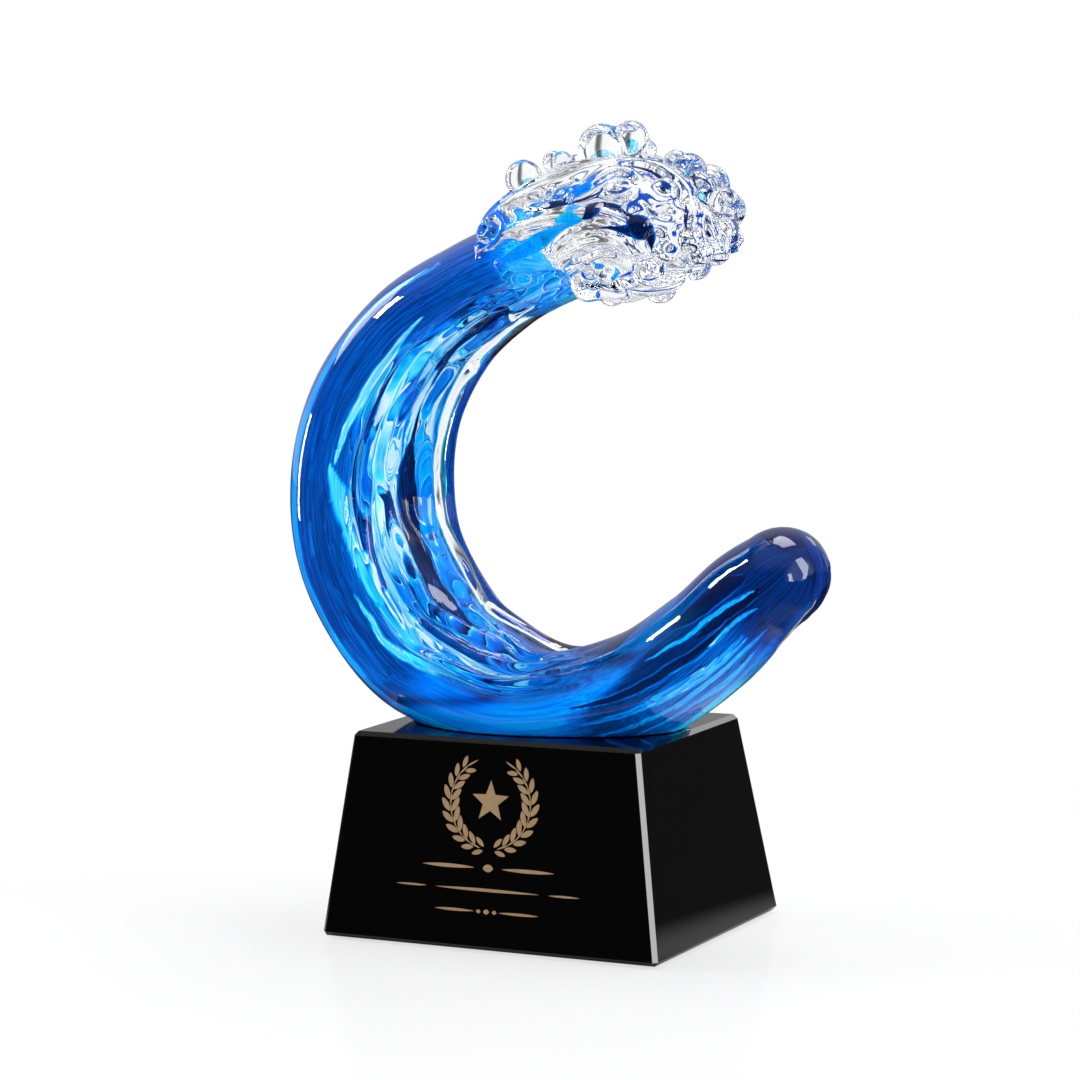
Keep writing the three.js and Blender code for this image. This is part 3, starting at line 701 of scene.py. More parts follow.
def rope_ripples(share, angle, length, seed):
    """Ropes of glass drawn along the trough, from about -1 to 1. Noise stretched along the
    limb, its place shifted by slower noise so that the ropes wander, split and merge."""
    along = share * length
    turns = angle / TURN
    wander = 0.022 * lattice_noise(seed, along / 24, (turns * 11) % 11, wrap=11)
    drift = 12 * lattice_noise(seed + 4, along / 30, (turns * 13) % 13, wrap=13)
    place, turned = along + drift, turns + wander
    broad = ridged(lattice_noise(seed + 1, place / 58, (turned * 17) % 17, wrap=17))
    narrow = ridged(lattice_noise(seed + 2, place / 34, (turned * 33) % 33, wrap=33))
    fine = lattice_noise(seed + 3, place / 18, (turned * 59) % 59, wrap=59)
    return broad * 0.55 + narrow * 0.33 + fine * 0.12


def bump_line(share, angle, centre, width, wander, seed, length):
    """A rounded ridge along the limb at an angle, wandering a little."""
    shift = lattice_noise(seed, share * length / 30, 0 * share + 0.5) * wander
    away = (np.degrees(angle) % 360) - centre - shift
    return np.exp(-(away / width) ** 2)


def in_tail(share):
    """0 along the trough and 1 in the tail."""
    return rise(share, 0.66, 0.76)


def trough_share(share, angle):
    """1 in the trough on the hollow side, fading out where the tail begins."""
    return across(angle, 110, 212, 7) * (1 - in_tail(share))


def underside(angle, high, soft):
    """1 on the outside of the limb, which is the underside of the tail."""
    return across((angle + math.pi) % TURN, 130, high, soft)


def rope_relief(share, angle, length):
    """The ropes side by side, in millimetres: rounded backs that meet in sharp valleys. Their
    lines wander a little, and they swell and thin along the way."""
    degrees = np.degrees(angle) % 360
    along = share * length
    relief = 0 * (share + angle)
    for seed, (width, height, line) in enumerate(TROUGH_ROPES):
        middle = spline(np.array(line, float)[:, None], np.clip(share / TAIL_START, 0, 1))[..., 0]
        wander = lattice_noise(seed + 80, along / 14, 0 * along) * 1.6
        swell = 1 + 0.25 * lattice_noise(seed + 90, along / 20, 0 * along)
        distance = (degrees - middle - wander) / (width * swell)
        relief = np.maximum(relief, height * (1 - distance**2))
    return relief


def wave_skin_lift(limb):
    """How far the wave's skin lies out of its oval: in the trough it is sunk and carries ropes
    and ripples, a rounded ridge runs along its rear edge, and the whole swells a little."""
    length = limb.length()
    sunk = 3.1

    def lift(share, angle):
        trough = trough_share(share, angle)
        under = underside(angle, 235, 20) * in_tail(share)
        body = 1 - rise(share, 0.7, 0.82)
        ropes = rope_ripples(share, angle, WAVE_LENGTH, 11)
        relief = rope_relief(share, angle, WAVE_LENGTH)
        swell = lattice_noise(5, share * length / 45, (angle / TURN * 5) % 5, wrap=5)
        rear_edge = body * bump_line(
            share, angle, centre=214, width=7.0, wander=5, seed=72, length=length)
        total = trough * (relief + ropes * 1.2 - sunk) + under * ropes * 0.8
        tip = rise(share, 0.8, 0.95)
        return total + rear_edge * 0.7 + 0.3 * swell - 0.3 - 0.25 * tip

    return lift


def balls(centres, radii, rows=12, cols=20):
    """Balls: rings from pole to pole about the Z axis."""
    bend = np.linspace(0, math.pi, rows + 2)[1:-1]
    turn = np.linspace(0, TURN, cols, endpoint=False)
    ring = np.stack([
        np.sin(bend)[:, None] * np.cos(turn), np.sin(bend)[:, None] * np.sin(turn),
        np.cos(bend)[:, None] + 0 * turn,
    ], -1)
    rings = centres[:, None, None] + radii[:, None, None, None] * ring
    pole = np.array([0.0, 0.0, 1.0])
    return rings, centres + radii[:, None] * pole, centres - radii[:, None] * pole


def rods(paths, outward, radii, cols=12, flat=1.0):
    """Rods along paths: each ring lies across the path's direction, round or flattened."""
    direction = unit(np.gradient(paths, axis=1))
    side = unit(np.cross(direction, outward))
    up = np.cross(side, direction)
    turn = np.linspace(0, TURN, cols, endpoint=False)
    circle = side[:, :, None] * np.cos(turn)[:, None] + up[:, :, None] * (flat * np.sin(turn))[:, None]
    rings = paths[:, :, None] + circle * radii[..., None, None]
    first = paths[:, 0] - direction[:, 0] * radii[:, :1]
    last = paths[:, -1] + direction[:, -1] * radii[:, -1:]
    return rings, first, last


def on_crest(crest, along, around):
    """A point of the crest's skin and the way out of it. Past 1 the point is on the round end."""
    push = np.clip((along - 1) / 0.3, 0, 0.98)
    return crest.skin(np.clip(along, 0, 1), np.radians(around), push, np.sqrt(1 - push**2))


def crest_curls(crest):
    """Curls rolled up on the crest: oval spirals wound in towards the eye over a low dome."""
    along, around, reach, start, wide = FOAM_CURLS.T
    point, outward = on_crest(crest, along, around)
    side = unit(np.cross(np.array([0.0, 1.0, 0.0]), outward))
    up = np.cross(outward, side)
    t = np.linspace(0, 1, 60)
    winds = 1.6
    angle = np.radians(start)[:, None] + t * winds * TURN
    out = reach[:, None] * (0.95 - 0.83 * t)
    dome = 0.5 * np.sqrt(reach[:, None] ** 2 - out**2) + 0.4
    paths = (
        point[:, None] + side[:, None] * (out * wide[:, None] * np.cos(angle))[..., None]
        + up[:, None] * (out * np.sin(angle))[..., None] + outward[:, None] * dome[..., None])
    radii = reach[:, None] * 0.19 * (0.7 + 0.3 * np.sqrt(np.sin(math.pi * t)))
    return rods(paths, outward[:, None] + 0 * paths, radii)


def crest_folds(crest):
    """Folds drawn over the crest from the limb to the lip: rods that follow set paths on its
    skin at the front, and paths that wander over it at the back."""
    t = np.linspace(0, 1, 48)
    places = [spline(np.array(path, float), t) for _, path in FRONT_FOLDS]
    lanes, lane_size = 8, 2.8
    first_lane, apart = 204, 19
    draw = np.random.default_rng(41)
    for lane in range(lanes):
        start = draw.uniform(0.0, 0.3)
        middle = first_lane + lane * apart
        turn = middle + draw.uniform(-20, 20) * t + 7 * np.sin(t * TURN * 1.2 + lane * 1.7)
        places.append(np.stack([start + draw.uniform(0.35, 0.6) * t, turn], -1))
    place = np.array(places)
    point, outward = on_crest(crest, place[..., 0], place[..., 1])
    size = np.array([size for size, _ in FRONT_FOLDS] + [lane_size] * lanes)[:, None]
    thick = size * (0.4 + 0.6 * np.sin(math.pi * t) ** 0.5)
    proud = 0.9
    return rods(point + outward * proud, outward, thick)


def crest_veils(crest):
    """Flat ribbons of coloured glass that lie under the crest's skin, and how pale each point
    of them is: one value in the middle, another at the rim."""
    t = np.linspace(0, 1, 40)
    place = np.array([spline(np.array(path), t) for _, _, _, path in CREST_VEILS])
    width, middle, rim = (np.array([row[k] for row in CREST_VEILS]) for k in range(3))
    point, outward = on_crest(crest, place[..., 0], place[..., 1])
    cols = 20
    thick = width[:, None] * (0.08 + 0.92 * np.sin(math.pi * t) ** 0.9)
    below_skin = 2.3
    skins = rods(point - outward * below_skin, outward, thick, cols, 0.2)
    edge = np.abs(np.cos(np.linspace(0, TURN, cols, endpoint=False))) ** 6
    light = middle[:, None, None] + (rim - middle)[:, None, None] * edge + 0 * t[:, None]
    ends = rim[:, None]
    light = np.concatenate([ends, light.reshape(len(light), -1), ends], 1).ravel()
    return skins, light


def crest_beads(crest):
    """The beads of foam, the domes under the curls, and lesser beads strewn over the back."""
    along, around, radius, proud = FOAM_BEADS.T
    point, outward = on_crest(crest, along, around)
    centres = [point + outward * (radius * proud)[:, None]]
    radii = [radius]
    along, around, reach, _, _ = FOAM_CURLS.T
    point, outward = on_crest(crest, along, around)
    centres.append(point - outward * (reach * 0.5)[:, None])
    radii.append(reach * 0.9)
    count = 16
    draw = np.random.default_rng(17)
    step = np.arange(count)
    golden = 0.618034
    along = 0.45 + 0.6 * ((step * golden) % 1)
    around = 208 + step * 140 / count + draw.uniform(-8, 8, count)
    small = draw.uniform(2.4, 4.4, count)
    point, outward = on_crest(crest, along, around)
    centres.append(point + outward * (small * draw.uniform(0.1, 0.6, count))[:, None])
    radii.append(small)
    return np.concatenate(centres), np.concatenate(radii)


def join_objects(objects):
    with bpy.context.temp_override(active_object=objects[0], selected_editable_objects=objects):
        bpy.ops.object.join()
    return objects[0]


def fused_crest(sizes):
    """The crest as one body: the gather, folds, curls and beads fused by voxels and softened."""
    crest = crest_limb(sizes)
    angles = np.linspace(0, TURN, 64, endpoint=False)
    gather = limb_rings(crest, crest.rows(70, 10), angles)
    parts = [closed_mesh("gather", gather[None], crest.pole(0, -1), crest.pole(1, 1))]
    parts.append(closed_mesh("folds", *crest_folds(crest)))
    parts.append(closed_mesh("curls", *crest_curls(crest)))
    centres, radii = crest_beads(crest)
    parts.append(closed_mesh("beads", *balls(centres, radii)))
    crest_object = join_objects([add_object(part.name, part) for part in parts])
    remesh = crest_object.modifiers.new("fuse", "REMESH")
    remesh.mode = "VOXEL"
    remesh.voxel_size = sizes.voxel
    soften = crest_object.modifiers.new("soften", "SMOOTH")
    soften.factor = 0.5
    soften.iterations = 20
    return settle(crest_object, "crest_body", None)


# Operators

class AWARD_OT_stage(bpy.types.Operator):
    """Add the pale floor, the soft studio light, the white surround and the camera"""

    bl_idname = "award.stage"
    bl_label = "Studio"

    def execute(self, context):
        scene = context.scene
        scene.view_settings.view_transform = "Standard"
        scene.cycles.max_bounces = 24
        scene.cycles.transmission_bounces = 24
        add_floor()
        dress_world(scene)
        add_lamps()
        add_camera(scene)
        return {"FINISHED"}


def ray_kinds(finish):
    """1 for rays from the camera, for rays seen in a reflection, for rays seen through glass and
    for rays that light something cloudy through glass. A ray through glass also counts as
    glossy, so that is taken off the reflections."""
    paths = finish.node("ShaderNodeLightPath").output.node.outputs
    camera, glossy, through, diffuse = (Socket(finish, paths[name]) for name in (
        "Is Camera Ray", "Is Glossy Ray", "Is Transmission Ray", "Diffuse Depth"))
    lighting = diffuse.math("MINIMUM", 1.0) * through
    return camera, glossy * (1.0 - through), through - lighting, lighting


def panel_light(finish, direction):
    """The studio seen through glass: white panels of uneven widths round the award with dark
    gaps between."""
    axes = finish.node("ShaderNodeSeparateXYZ", None, direction).output.node.outputs
    bearing = Socket(finish, axes[0]).math("ARCTAN2", Socket(finish, axes[1]))
    uneven = bearing * 9.0 + (bearing * 4.0).math("SINE") * 1.3
    gaps = 1.0 - (uneven + 1.3).math("COSINE").smooth(-1.0, -0.35)
    level = 1.0 - Socket(finish, axes[2]).math("ABSOLUTE").smooth(0.2, 0.6)
    return 1.0 - gaps * level * 0.86


def add_floor():
    """A wide disc under the award. Near the award it takes its shadow and a faint mirror image
    of it, and further off it goes to plain white for the camera. Reflections see it dim, as a
    small table in a dark room, and rays through the glass see it lit by the panels."""
    radius = 2.5
    turn = np.linspace(0, TURN, 96, endpoint=False)
    rim = np.stack([radius * np.cos(turn), radius * np.sin(turn), 0 * turn], -1)
    mesh = bpy.data.meshes.new("floor")
    mesh.from_pydata(rim.tolist(), [], [list(range(len(turn)))])
    finish = new_material("floor_white")
    place = finish.place()
    away = finish.node("ShaderNodeVectorMath", {"operation": "LENGTH"}, place, output=1)
    camera, mirrored, through, lighting = ray_kinds(finish)
    matt = finish.node(
        "ShaderNodeBsdfPrincipled", None, Base_Color=(0.88, 0.88, 0.89), Roughness=0.12, IOR=1.35)
    strength = camera + mirrored * 0.05 + through * panel_light(finish, place)
    strength = strength + lighting * THROUGH_GLASS
    glow = finish.node("ShaderNodeEmission", None, (1, 1, 1), strength)
    share = camera * (away.smooth(0.1, 0.3) * 0.3 + 0.7) + mirrored * away.smooth(0.05, 0.15)
    share = share + (through + lighting) * away.smooth(0.06, 0.2)
    finish.surface(finish.node("ShaderNodeMixShader", None, share, matt, glow))
    floor = add_object("floor", mesh, finish.owner)


def dress_world(scene):
    """White to the camera. Through glass the panels are white at eye level and darker overhead.
    Reflections see it dim in front and brighter behind."""
    world = bpy.data.worlds.new("studio")
    scene.world = world
    finish = Finish(world)
    direction = finish.node("ShaderNodeTexCoord", output=0)
    axes = finish.node("ShaderNodeSeparateXYZ", None, direction).output.node.outputs
    aside, behind, height = (Socket(finish, axes[k]) for k in range(3))
    camera, mirrored, through, lighting = ray_kinds(finish)
    overhead = height.smooth(0.25, 0.85)
    seen_through = (1.0 - overhead * 0.25) * panel_light(finish, direction)
    back_left = (behind * 0.88 - aside * 0.47).smooth(0.3, 0.95)
    right = aside.smooth(0.7, 0.92) * 0.9
    seen_mirrored = back_left * 0.33 + behind.smooth(-0.3, 0.9) * 0.1 + 0.03 + overhead * 0.35 + right
    plain = 0.55
    strength = plain + mirrored * (seen_mirrored - plain)
    strength = strength + through * (seen_through - plain) + camera * (1.0 - plain)
    strength = strength + lighting * (THROUGH_GLASS - plain)
    finish.surface(finish.node("ShaderNodeBackground", None, (1, 1, 1), strength))


def add_lamps():
    """Softboxes, and strips that light the base's polished edges: name, place, size and power.
    Each looks at the middle of the award."""
    boxes = (
        ("softbox_left", (-0.86, -0.175, 0.715), (0.19, 0.15), 3.4),
        ("softbox_far_left", (-0.88, 0.2, 0.6), (0.4, 0.3), 1.6),
        ("softbox_low", (-0.98, 0.05, 0.1), (0.1, 0.36), 1.6),
        ("softbox_right", (1.0, 0.1, 0.4), (0.3, 0.8), 6.0),
        ("softbox_top", (0.1, 0.35, 1.2), (0.7, 0.5), 8.0),
        ("strip_corner", (1.108, -0.569, 0.222), (0.16, 0.3), 1.5),
        ("strip_behind", (0.18, 1.064, 0.595), (0.3, 0.16), 0.3),
    )
    target = np.array([0.0, 0.0, 0.13])
    for name, place, size, power in boxes:
        lamp = bpy.data.lights.new(name, "AREA")
        lamp.shape = "RECTANGLE"
        lamp.size, lamp.size_y = size
        lamp.energy = power
        obj = bpy.data.objects.new(name, lamp)
        bpy.context.scene.collection.objects.link(obj)
        back = unit(np.array(place) - target)
        right = unit(np.cross((0, 0, 1), back))
        obj.matrix_world = pose_matrix(np.array(place), right, np.cross(back, right), back)


def pose_matrix(place, right, up, back):
    rows = np.eye(4)
    rows[:3, 0], rows[:3, 1], rows[:3, 2], rows[:3, 3] = right, up, back, place
    return Matrix(rows.tolist())


def add_camera(scene):
    """The photograph's view: a long lens a metre off, from the right of the front and a
    little above, rolled very slightly."""
    azimuth, elevation, roll = (math.radians(v) for v in (28.36, 6.54, -1.46))
    distance, aside, height, lens = 1.0724, -0.0036, 0.1133, 120.5
    back = np.array([
        math.sin(azimuth) * math.cos(elevation), -math.cos(azimuth) * math.cos(elevation),
        math.sin(elevation)])
    level = np.array([math.cos(azimuth), math.sin(azimuth), 0.0])
    upright = np.cross(back, level)
    right = level * math.cos(roll) + upright * math.sin(roll)
    up = upright * math.cos(roll) - level * math.sin(roll)
    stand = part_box("base_block")[0].z
    place = right * aside + up * height + back * distance + np.array([0, 0, stand])
    data = bpy.data.cameras.new("camera")
    data.lens = lens
    camera = bpy.data.objects.new("camera", data)
    scene.collection.objects.link(camera)
    camera.matrix_world = pose_matrix(place, right, up, back)
    scene.camera = camera


class AWARD_OT_base(bpy.types.Operator):
    """Finish the crystal base, its pad and the bond under the wave"""

    bl_idname = "award.base"
    bl_label = "Base"

    def execute(self, context):
        finishes = {
            "base_block": black_crystal_finish(),
            "base_pad": felt_finish(),
            "adhesive_film": resin_finish(),
        }
        for node, material in finishes.items():
            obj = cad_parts[node]
            obj.data.materials.clear()
            obj.data.materials.append(material)
        return {"FINISHED"}


class AWARD_OT_clear_glass(bpy.types.Operator):
    """Make the clear glass: the wave's skin and the froth of the crest, fused"""

    bl_idname = "award.clear_glass"
    bl_label = "Clear glass"

    def execute(self, context):
        sizes = context.scene.award_sizes
        wave = wave_limb(sizes)
        angles = ring_angles((98, 225, 96), (225, 458, 50))
        rings = limb_rings(wave, wave.rows(262, 10), angles, wave_skin_lift(wave))
        mesh = closed_mesh("wave_skin", rings[None], wave.pole(0, -1), wave.pole(1, 1))
        skin = add_object("wave_skin", mesh)
        crest = fused_crest(sizes)
        join_solid(skin, crest, "UNION")
        skin = settle(skin, "wave_fused", None)
        block = foot_cutter()
        join_solid(skin, block, "DIFFERENCE")
        skin = settle(skin, "clear_glass_wave", clear_glass_finish())
        bpy.data.objects.remove(crest)
        bpy.data.objects.remove(block)
        froth = [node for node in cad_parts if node.startswith(("crest_", "foam_"))]
        finish_piece(skin, "casing_glass", "wave_casing", *froth)
        return {"FINISHED"}


def join_solid(obj, other, operation):
    boolean = obj.modifiers.new("join", "BOOLEAN")
    boolean.operation = operation
    boolean.solver = "MANIFOLD"
    boolean.object = other


def foot_cutter():
    """A block whose top face is the plane of the ground foot, with a breath of air under it."""
    air = 0.05
    top = foot_height() + air
    half = 200.0
    turn = np.radians([45, 135, 225, 315])
    ring = np.stack([half * np.cos(turn), half * np.sin(turn)], -1)
    rings = np.stack([np.column_stack([ring, np.full(4, z)]) for z in (top - half, top)])
    first = np.array([[0.0, 0.0, top - half]])
    last = np.array([[0.0, 0.0, top]])
    return add_object("foot_block", closed_mesh("foot_block", rings[None], first, last))


class AWARD_OT_cobalt_core(bpy.types.Operator):
    """Make the streaked cobalt core inside the clear glass"""

    bl_idname = "award.cobalt_core"
    bl_label = "Cobalt core"

    def execute(self, context):
        sizes = context.scene.award_sizes
        core = core_limb(sizes)
        rows = core.rows(340, 12)
        angles = ring_angles((96, 225, 158), (225, 360, 30), (0, 96, 66))
        rings = limb_rings(core, rows, angles, core_skin_lift(sizes))
        share = rows[0][:, None] + 0 * angles
        angle = angles[None] + 0 * share
        attributes = core_attributes(share, angle, core.length())
        mesh = closed_mesh("cobalt_core", rings[None], core.pole(0, -1), core.pole(1, 1), attributes)
        obj = add_object("core_raw", mesh)
        block = foot_cutter()
        join_solid(obj, block, "DIFFERENCE")
        material = core_finish(context.scene.award_colours, "cobalt_core", 26.0)
        obj = settle(obj, "cobalt_core", material)
        bpy.data.objects.remove(block)
        finish_piece(obj, "cobalt_glass", "wave_core")
        return {"FINISHED"}


def core_skin_lift(sizes):
    """How far the core's skin lies out of its oval: it follows the clear glass's skin a little
    under it, with ripples of its own, and leaves the rear edge of the trough clear."""
    skin_lift = wave_skin_lift(wave_limb(sizes))
    below_skin = 0.9

    def lift(share, angle):
        along = np.clip((share - CREST_SHARE) / (1 - CREST_SHARE), 0, 1)
        own = rope_ripples(along, angle, WAVE_LENGTH, 23)
        clear_rear = across(angle, 184, 238, 9) * (1 - rise(share, 0.7, 0.8))
        wavy = 0.9 * own * (0.3 + 0.7 * trough_share(along, angle))
        return skin_lift(along, angle) - below_skin + wavy - 3.0 * clear_rear

    return lift


def core_limb(sizes):
    """The core: a tongue tapering out into the crest, then the wave's line moved towards the
    front and the outside, so that the clear glass is thick at the back and inside, and under
    the tail."""
    wave = wave_limb(sizes)
    crest = crest_limb(sizes)
    count = len(wave.stations)
    place = np.linspace(0, 1, count)
    tail = rise(place, 0.6, 0.8)
    outer = 2.0 + 2.4 * tail
    inner = 3.6 - 1.6 * tail
    front = 2.2
    rear = 8.8 - 1.8 * tail
    left = wave.section(place)[4]
    stations = wave.stations.copy()
    stations[:, :3] += left * ((outer - inner) / 2)[:, None]
    stations[:, 1] = (front - rear) / 2
    stations[:, 3] -= (outer + inner) / 2
    stations[:, 4] -= (front + rear) / 2
    tongue = spline(crest.stations, np.array([0.36, 0.25, 0.12]))
    tongue[:, 2] -= (9.0, 6.0, 3.0)
    tongue[:, 1] = -5.0
    tongue[:, 3] *= (0.12, 0.36, 0.62)
    tongue[:, 4] *= (0.3, 0.55, 0.7)
    both = np.vstack([tongue, stations])
    return Limb(both[:, :3], both[:, 3], both[:, 4])


def core_attributes(share, angle, length):
    """What each point of the core carries. flow is a place that is stretched along the limb, so
    that patterns streak with it. light says how pale the glass is, veil how strong its streaks
    are and body how cloudy it is. The trough is streaked, partly with painted light and shade.
    The front is plain, azure low down with a dark tongue across it, and flecked near the trough.
    The back is pale and clear, and the tail navy with a pale underside, its tip darkened partly
    by painted shade."""
    wave = (share - CREST_SHARE) / (1 - CREST_SHARE)
    trough = trough_share(wave, angle)
    fine = 2.9 + 1.3 * rise(wave, 0.7, 0.8)
    flow = np.stack([fine * np.cos(angle), fine * np.sin(angle), share * length / 95], -1)
    degrees = np.degrees(angle) % 360
    navy_from = 0.72 + 0.14 * rise(degrees, 60, 150)
    front = across(angle, 10, 112, 15)
    tail = rise(wave, navy_from - 0.02, navy_from + 0.02)
    window = front * rise(wave, 0.54, 0.6) * (1 - tail)
    under = underside(angle, 246, 14) * rise(wave, 0.72, 0.8)
    under = under * (1 - rise(wave, 0.86, 0.94))
    flecked = across(angle, 72, 114, 14) * rise(wave, 0, 0.08) * (1 - rise(wave, 0.52, 0.6))
    tongue = np.exp(-((degrees - 60 - 480 * (wave - 0.56)) / 7) ** 2)
    tongue = tongue * rise(wave, 0.5, 0.56) * (1 - rise(wave, 0.64, 0.68))
    in_crest = 1 - rise(wave, -0.1, 0.05)
    # The streaks are partly painted light: in the trough pale lines stand in for light through thin
    # ridges of glass, dark lines for shade in its valleys.
    light = streaks_and_painted_light(0.22 + 0.2 * trough + 0.27 * window, wave, degrees)
    # The tail is made darker, its navy partly glass colour and partly painted shade, and its underside
    # paler.
    light = light + (0.62 - light) * in_crest - 0.24 * tongue + tail * (0.24 * under - 0.15)
    veil = 0.1 + trough * (1 - in_crest) + 0.1 * tail + 0.6 * under + 0.24 * flecked
    veil = veil + 0.8 * in_crest
    back = across(angle, 228, 352, 8) * (1 - 0.7 * rise(wave, 0.8, 0.9))
    light = light + (0.74 - light) * back
    veil = veil * (0.4 + 0.6 * rise(light, 0.1, 0.4)) * (1 - 0.7 * back)
    plain = across(angle, 8, 106, 16)
    body = np.maximum(0.3 + 0.5 * plain + 0.55 * trough, 0.8 * under) * (1 - 0.8 * back)
    stored = {}
    for key, grid in {"flow": flow, "light": light, "veil": veil, "body": body}.items():
        points = grid.reshape(-1, *grid.shape[2:])
        stored[key] = np.concatenate([grid[:1].mean(1), points, grid[-1:].mean(1)])
    return stored


def streaks_and_painted_light(light, share, degrees):
    """Paints the core's streaks over how pale it is: partly streaks of coloured glass and partly
    painted light, the pale ones in the trough standing in for light through thin ridges of glass
    and the dark ones for shade in its valleys. A streak's line wanders a little, its width
    follows a sine from end to end, and a bright rim runs along both its sides."""
    for seed, (width, level, line) in enumerate(CORE_STREAKS_AND_PAINTED_LIGHT):
        line = np.array(line, float)
        start, end = line[0, 0], line[-1, 0]
        t = np.clip((share - start) / (end - start), 0, 1)
        shares = np.interp(np.linspace(0, 1, 60), np.linspace(0, 1, len(line)), line[:, 0])
        middles = spline(line[:, 1:], np.linspace(0, 1, 60))[:, 0]
        wander = 1.6 * lattice_noise(seed + 30, share * 34, 0 * share)
        wander = wander + 0.7 * lattice_noise(seed + 60, share * 90, 0 * share)
        half = width * np.sqrt(np.sin(math.pi * np.clip(t, 0.001, 0.999)))
        away = np.abs(degrees - np.interp(share, shares, middles) - wander) / np.maximum(half, 0.3)
        inside = (share > start) & (share < end)
        light = light + (level - light) * (1 - rise(away, 0.8, 1.05)) * inside
        light = light + 0.3 * np.exp(-((away - 1.05) * width / 1.1) ** 2) * inside
    return light


def face_solids(outlines, depths):
    """Flat ornament in the base's sloping front: outlines in the face, across and up it from
    its middle, made solids that stand a twentieth of a millimetre proud and reach into it."""
    low, high = (corner.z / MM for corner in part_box("base_block"))
    middle = np.array([0, -sum(depths) / 4, (low + high) / 2])
    slope = np.array([0, (depths[0] - depths[1]) / 2, high - low])
    up = slope / np.linalg.norm(slope)
    out = np.array([0, -up[2], up[1]])
    points = middle + outlines[..., :1] * np.array([1.0, 0, 0]) + outlines[..., 1:] * up
    inward, proud = -0.3 * out, 0.05 * out
    centre = points.mean(1)
    return np.stack([points + inward, points + proud], 1), centre + inward, centre + proud


def leaf_outlines(places, turns, lengths, widths, points=24):
    """Pointed ovals: as wide as a sine of the way from tip to tip."""
    turn = np.linspace(0, TURN, points, endpoint=False)
    along, side = np.cos(turn), np.sin(turn) * np.abs(np.sin(turn)) ** 0.6
    flat = np.stack([along * lengths[:, None] / 2, side * widths[:, None] / 2], -1)
    c, s = np.cos(turns)[:, None], np.sin(turns)[:, None]
    turned = np.stack([flat[..., 0] * c - flat[..., 1] * s, flat[..., 0] * s + flat[..., 1] * c], -1)
    return places[:, None] + turned


def wreath_outlines(centre, radius):
    """Two laurel branches that rise from the foot of a circle: pairs of leaves along it, each
    turned out from the branch, and the stems between them."""
    step = np.linspace(0.06, 0.94, 10)
    foot, sweep = -84, 146
    round_by = np.radians(foot + sweep * step)
    size = 4.6 * (0.75 + 0.25 * np.sin(math.pi * step))
    rows = []
    for side in (-1, 1):
        for lean, away in ((0.55, 1.12), (-0.55, 0.88)):
            place = np.stack([side * np.cos(round_by), np.sin(round_by)], -1) * radius * away
            turn = round_by + math.pi / 2 - lean
            turn = turn if side > 0 else math.pi - turn
            rows.append(leaf_outlines(centre + place, turn, size, 0.38 * size))
        stem = round_by + 0.12
        place = np.stack([side * np.cos(stem), np.sin(stem)], -1) * radius
        turn = stem + math.pi / 2 if side > 0 else math.pi / 2 - stem
        rows.append(leaf_outlines(centre + place, turn, 0 * size + 4.4, 0 * size + 0.5))
    return np.concatenate(rows)


def star_outline(centre, radius, points=24):
    """A five-pointed star: straight sides between points on two circles. Four points are
    doubled, so that it has as many as a leaf."""
    corner = np.arange(11)
    reach = np.where(corner % 2 == 0, radius, radius * 0.42)
    bearing = math.pi / 2 + corner * math.pi / 5
    corners = np.stack([reach * np.cos(bearing), reach * np.sin(bearing)], -1)
    place = np.linspace(0, 10, points - 4, endpoint=False)
    place = np.sort(np.concatenate([place, [0.5, 2.5, 7.5, 9.5]]))
    line = np.stack([np.interp(place, corner, corners[:, k]) for k in range(2)], -1)
    return centre + line[None]


def rule_outlines():
    """Tapered rules either side of a small diamond, and a shorter set below them: their places
    across and up the face, lengths and widths."""
    rows = (
        (-13.0, -6.5, 17.0, 1.1), (13.0, -6.5, 17.0, 1.1), (0.0, -6.5, 3.4, 2.2),
        (-10.5, -19.0, 13.0, 0.8), (10.5, -19.0, 13.0, 0.8), (-2.6, -19.0, 1.5, 1.1),
        (0.0, -19.0, 1.9, 1.4), (2.6, -19.0, 1.5, 1.1), (-25.0, -12.8, 10.0, 0.6),
        (25.0, -12.8, 10.0, 0.6), (0.0, -12.8, 34.0, 0.9),
    )
    across_face, up, length, width = np.array(rows).T
    return leaf_outlines(np.stack([across_face, up], -1), 0 * up, length, width)


class AWARD_OT_ornament(bpy.types.Operator):
    """Engrave the base's front with a laurel wreath, a star and tapered rules, filled with gilt"""

    bl_idname = "award.ornament"
    bl_label = "Gilt ornament"

    def execute(self, context):
        sizes = context.scene.award_sizes
        depths = (sizes.base_bottom_depth / MM, sizes.base_top_depth / MM)
        heart = np.array([0.0, 12.0])
        outlines = np.concatenate([
            wreath_outlines(heart, 13.0), star_outline(heart + (0, 0.6), 6.2), rule_outlines()])
        mesh = closed_mesh("gilt_ornament", *face_solids(outlines, depths))
        mesh.polygons.foreach_set("use_smooth", np.zeros(len(mesh.polygons), bool))
        finish = gilt_finish(context.scene.award_colours)
        finish_piece(add_object("gilt_ornament", mesh, finish), None)
        return {"FINISHED"}


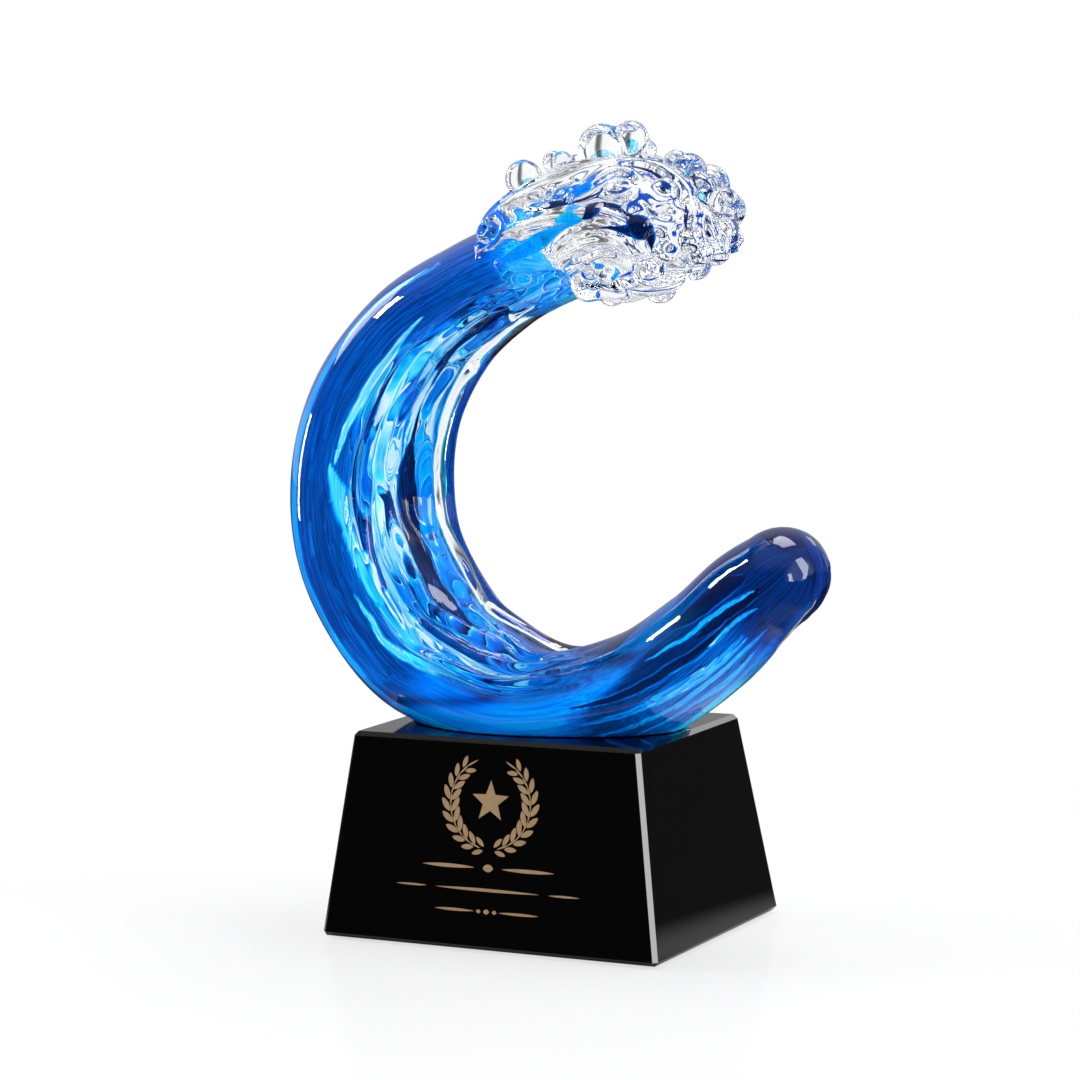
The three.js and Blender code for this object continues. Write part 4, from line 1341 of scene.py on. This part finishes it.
class AWARD_OT_seed_bubbles(bpy.types.Operator):
    """Scatter seed bubbles through the wave, as hand-worked glass has them"""

    bl_idname = "award.seed_bubbles"
    bl_label = "Seed bubbles"

    def execute(self, context):
        wave = wave_limb(context.scene.award_sizes)
        draw = np.random.default_rng(7)
        count = 70
        share = draw.uniform(0.05, 0.97, count)
        angle = draw.uniform(0, TURN, count)
        centre, thick, deep, _, left = wave.section(share)
        depth = draw.uniform(0.3, 0.9, count)
        offset = left * (-np.cos(angle) * thick * depth)[:, None]
        offset[:, 1] -= np.sin(angle) * deep * depth
        places = centre + offset
        lowest = foot_height() + 1.5
        places[:, 2] = np.maximum(places[:, 2], lowest)
        radii = 0.14 + 0.32 * draw.uniform(0, 1, count) ** 3
        mesh = closed_mesh("seed_bubbles", *balls(places, radii, 5, 8))
        finish_piece(add_object("seed_bubbles", mesh, bubble_finish()), "casing_glass")
        return {"FINISHED"}


def add_crest_colour(name, finish, skins, light, streaks, body):
    """Adds a piece of coloured glass inside the crest. light says how pale it is, streaks how
    strong its streaks are and body how cloudy it is."""
    rings, first, last = skins
    points = np.concatenate([first[:, None], rings.reshape(len(rings), -1, 3), last[:, None]], 1)
    flow = points.reshape(-1, 3) / 6
    same = np.zeros(len(flow))
    attributes = {"flow": flow, "light": same + light, "veil": same + streaks, "body": same + body}
    mesh = closed_mesh(name, rings, first, last, attributes)
    finish_piece(add_object(name, mesh, finish), "cobalt_glass")


def bead_swirls(crest):
    """Swirls of tinted glass inside the large beads along the top of the crest: small balls low
    in each bead, which the bead magnifies."""
    _, side, size, _ = FOAM_BEADS.T
    along, around, radius, proud = FOAM_BEADS[(size >= 5) & (side > 160) & (side < 200)].T
    point, outward = on_crest(crest, along, around)
    return balls(point + outward * (radius * (proud - 0.4))[:, None], radius * 0.36)


class AWARD_OT_crest_veils(bpy.types.Operator):
    """Make the veils and swirls of coloured glass inside the crest"""

    bl_idname = "award.crest_veils"
    bl_label = "Crest veils"

    def execute(self, context):
        crest = crest_limb(context.scene.award_sizes)
        finish = core_finish(context.scene.award_colours, "crest_veil", 20.0)
        skins, light = crest_veils(crest)
        add_crest_colour("crest_veils", finish, skins, light, streaks=0.3, body=0.3)
        add_crest_colour("bead_swirls", finish, bead_swirls(crest), light=1.0, streaks=1.0, body=0.0)
        return {"FINISHED"}


class AWARD_PT_panel(bpy.types.Panel):
    """Sidebar panel that lists the award's pieces, sizes and colours"""

    bl_idname = "AWARD_PT_panel"
    bl_label = "Glass wave award"
    bl_space_type = "VIEW_3D"
    bl_region_type = "UI"
    bl_category = "Award"

    def draw(self, context):
        for kind in OPERATORS:
            self.layout.operator(kind.bl_idname)
        for group in (context.scene.award_sizes, context.scene.award_colours):
            column = self.layout.column()
            for key in group.__annotations__:
                column.prop(group, key)


OPERATORS = (
    AWARD_OT_stage, AWARD_OT_base, AWARD_OT_ornament, AWARD_OT_clear_glass, AWARD_OT_cobalt_core,
    AWARD_OT_crest_veils, AWARD_OT_seed_bubbles,
)
CLASSES = (AwardSizes, AwardColours, *OPERATORS, AWARD_PT_panel)


def register():
    for cls in CLASSES:
        bpy.utils.register_class(cls)
    bpy.types.Scene.award_sizes = PointerProperty(type=AwardSizes)
    bpy.types.Scene.award_colours = PointerProperty(type=AwardColours)


def unregister():
    del bpy.types.Scene.award_sizes
    del bpy.types.Scene.award_colours
    for cls in reversed(CLASSES):
        bpy.utils.unregister_class(cls)


def main():
    register()
    bpy.ops.award.stage()
    bpy.ops.award.base()
    bpy.ops.award.ornament()
    bpy.ops.award.clear_glass()
    bpy.ops.award.cobalt_core()
    bpy.ops.award.crest_veils()
    bpy.ops.award.seed_bubbles()


if __name__ == "__main__":
    main()
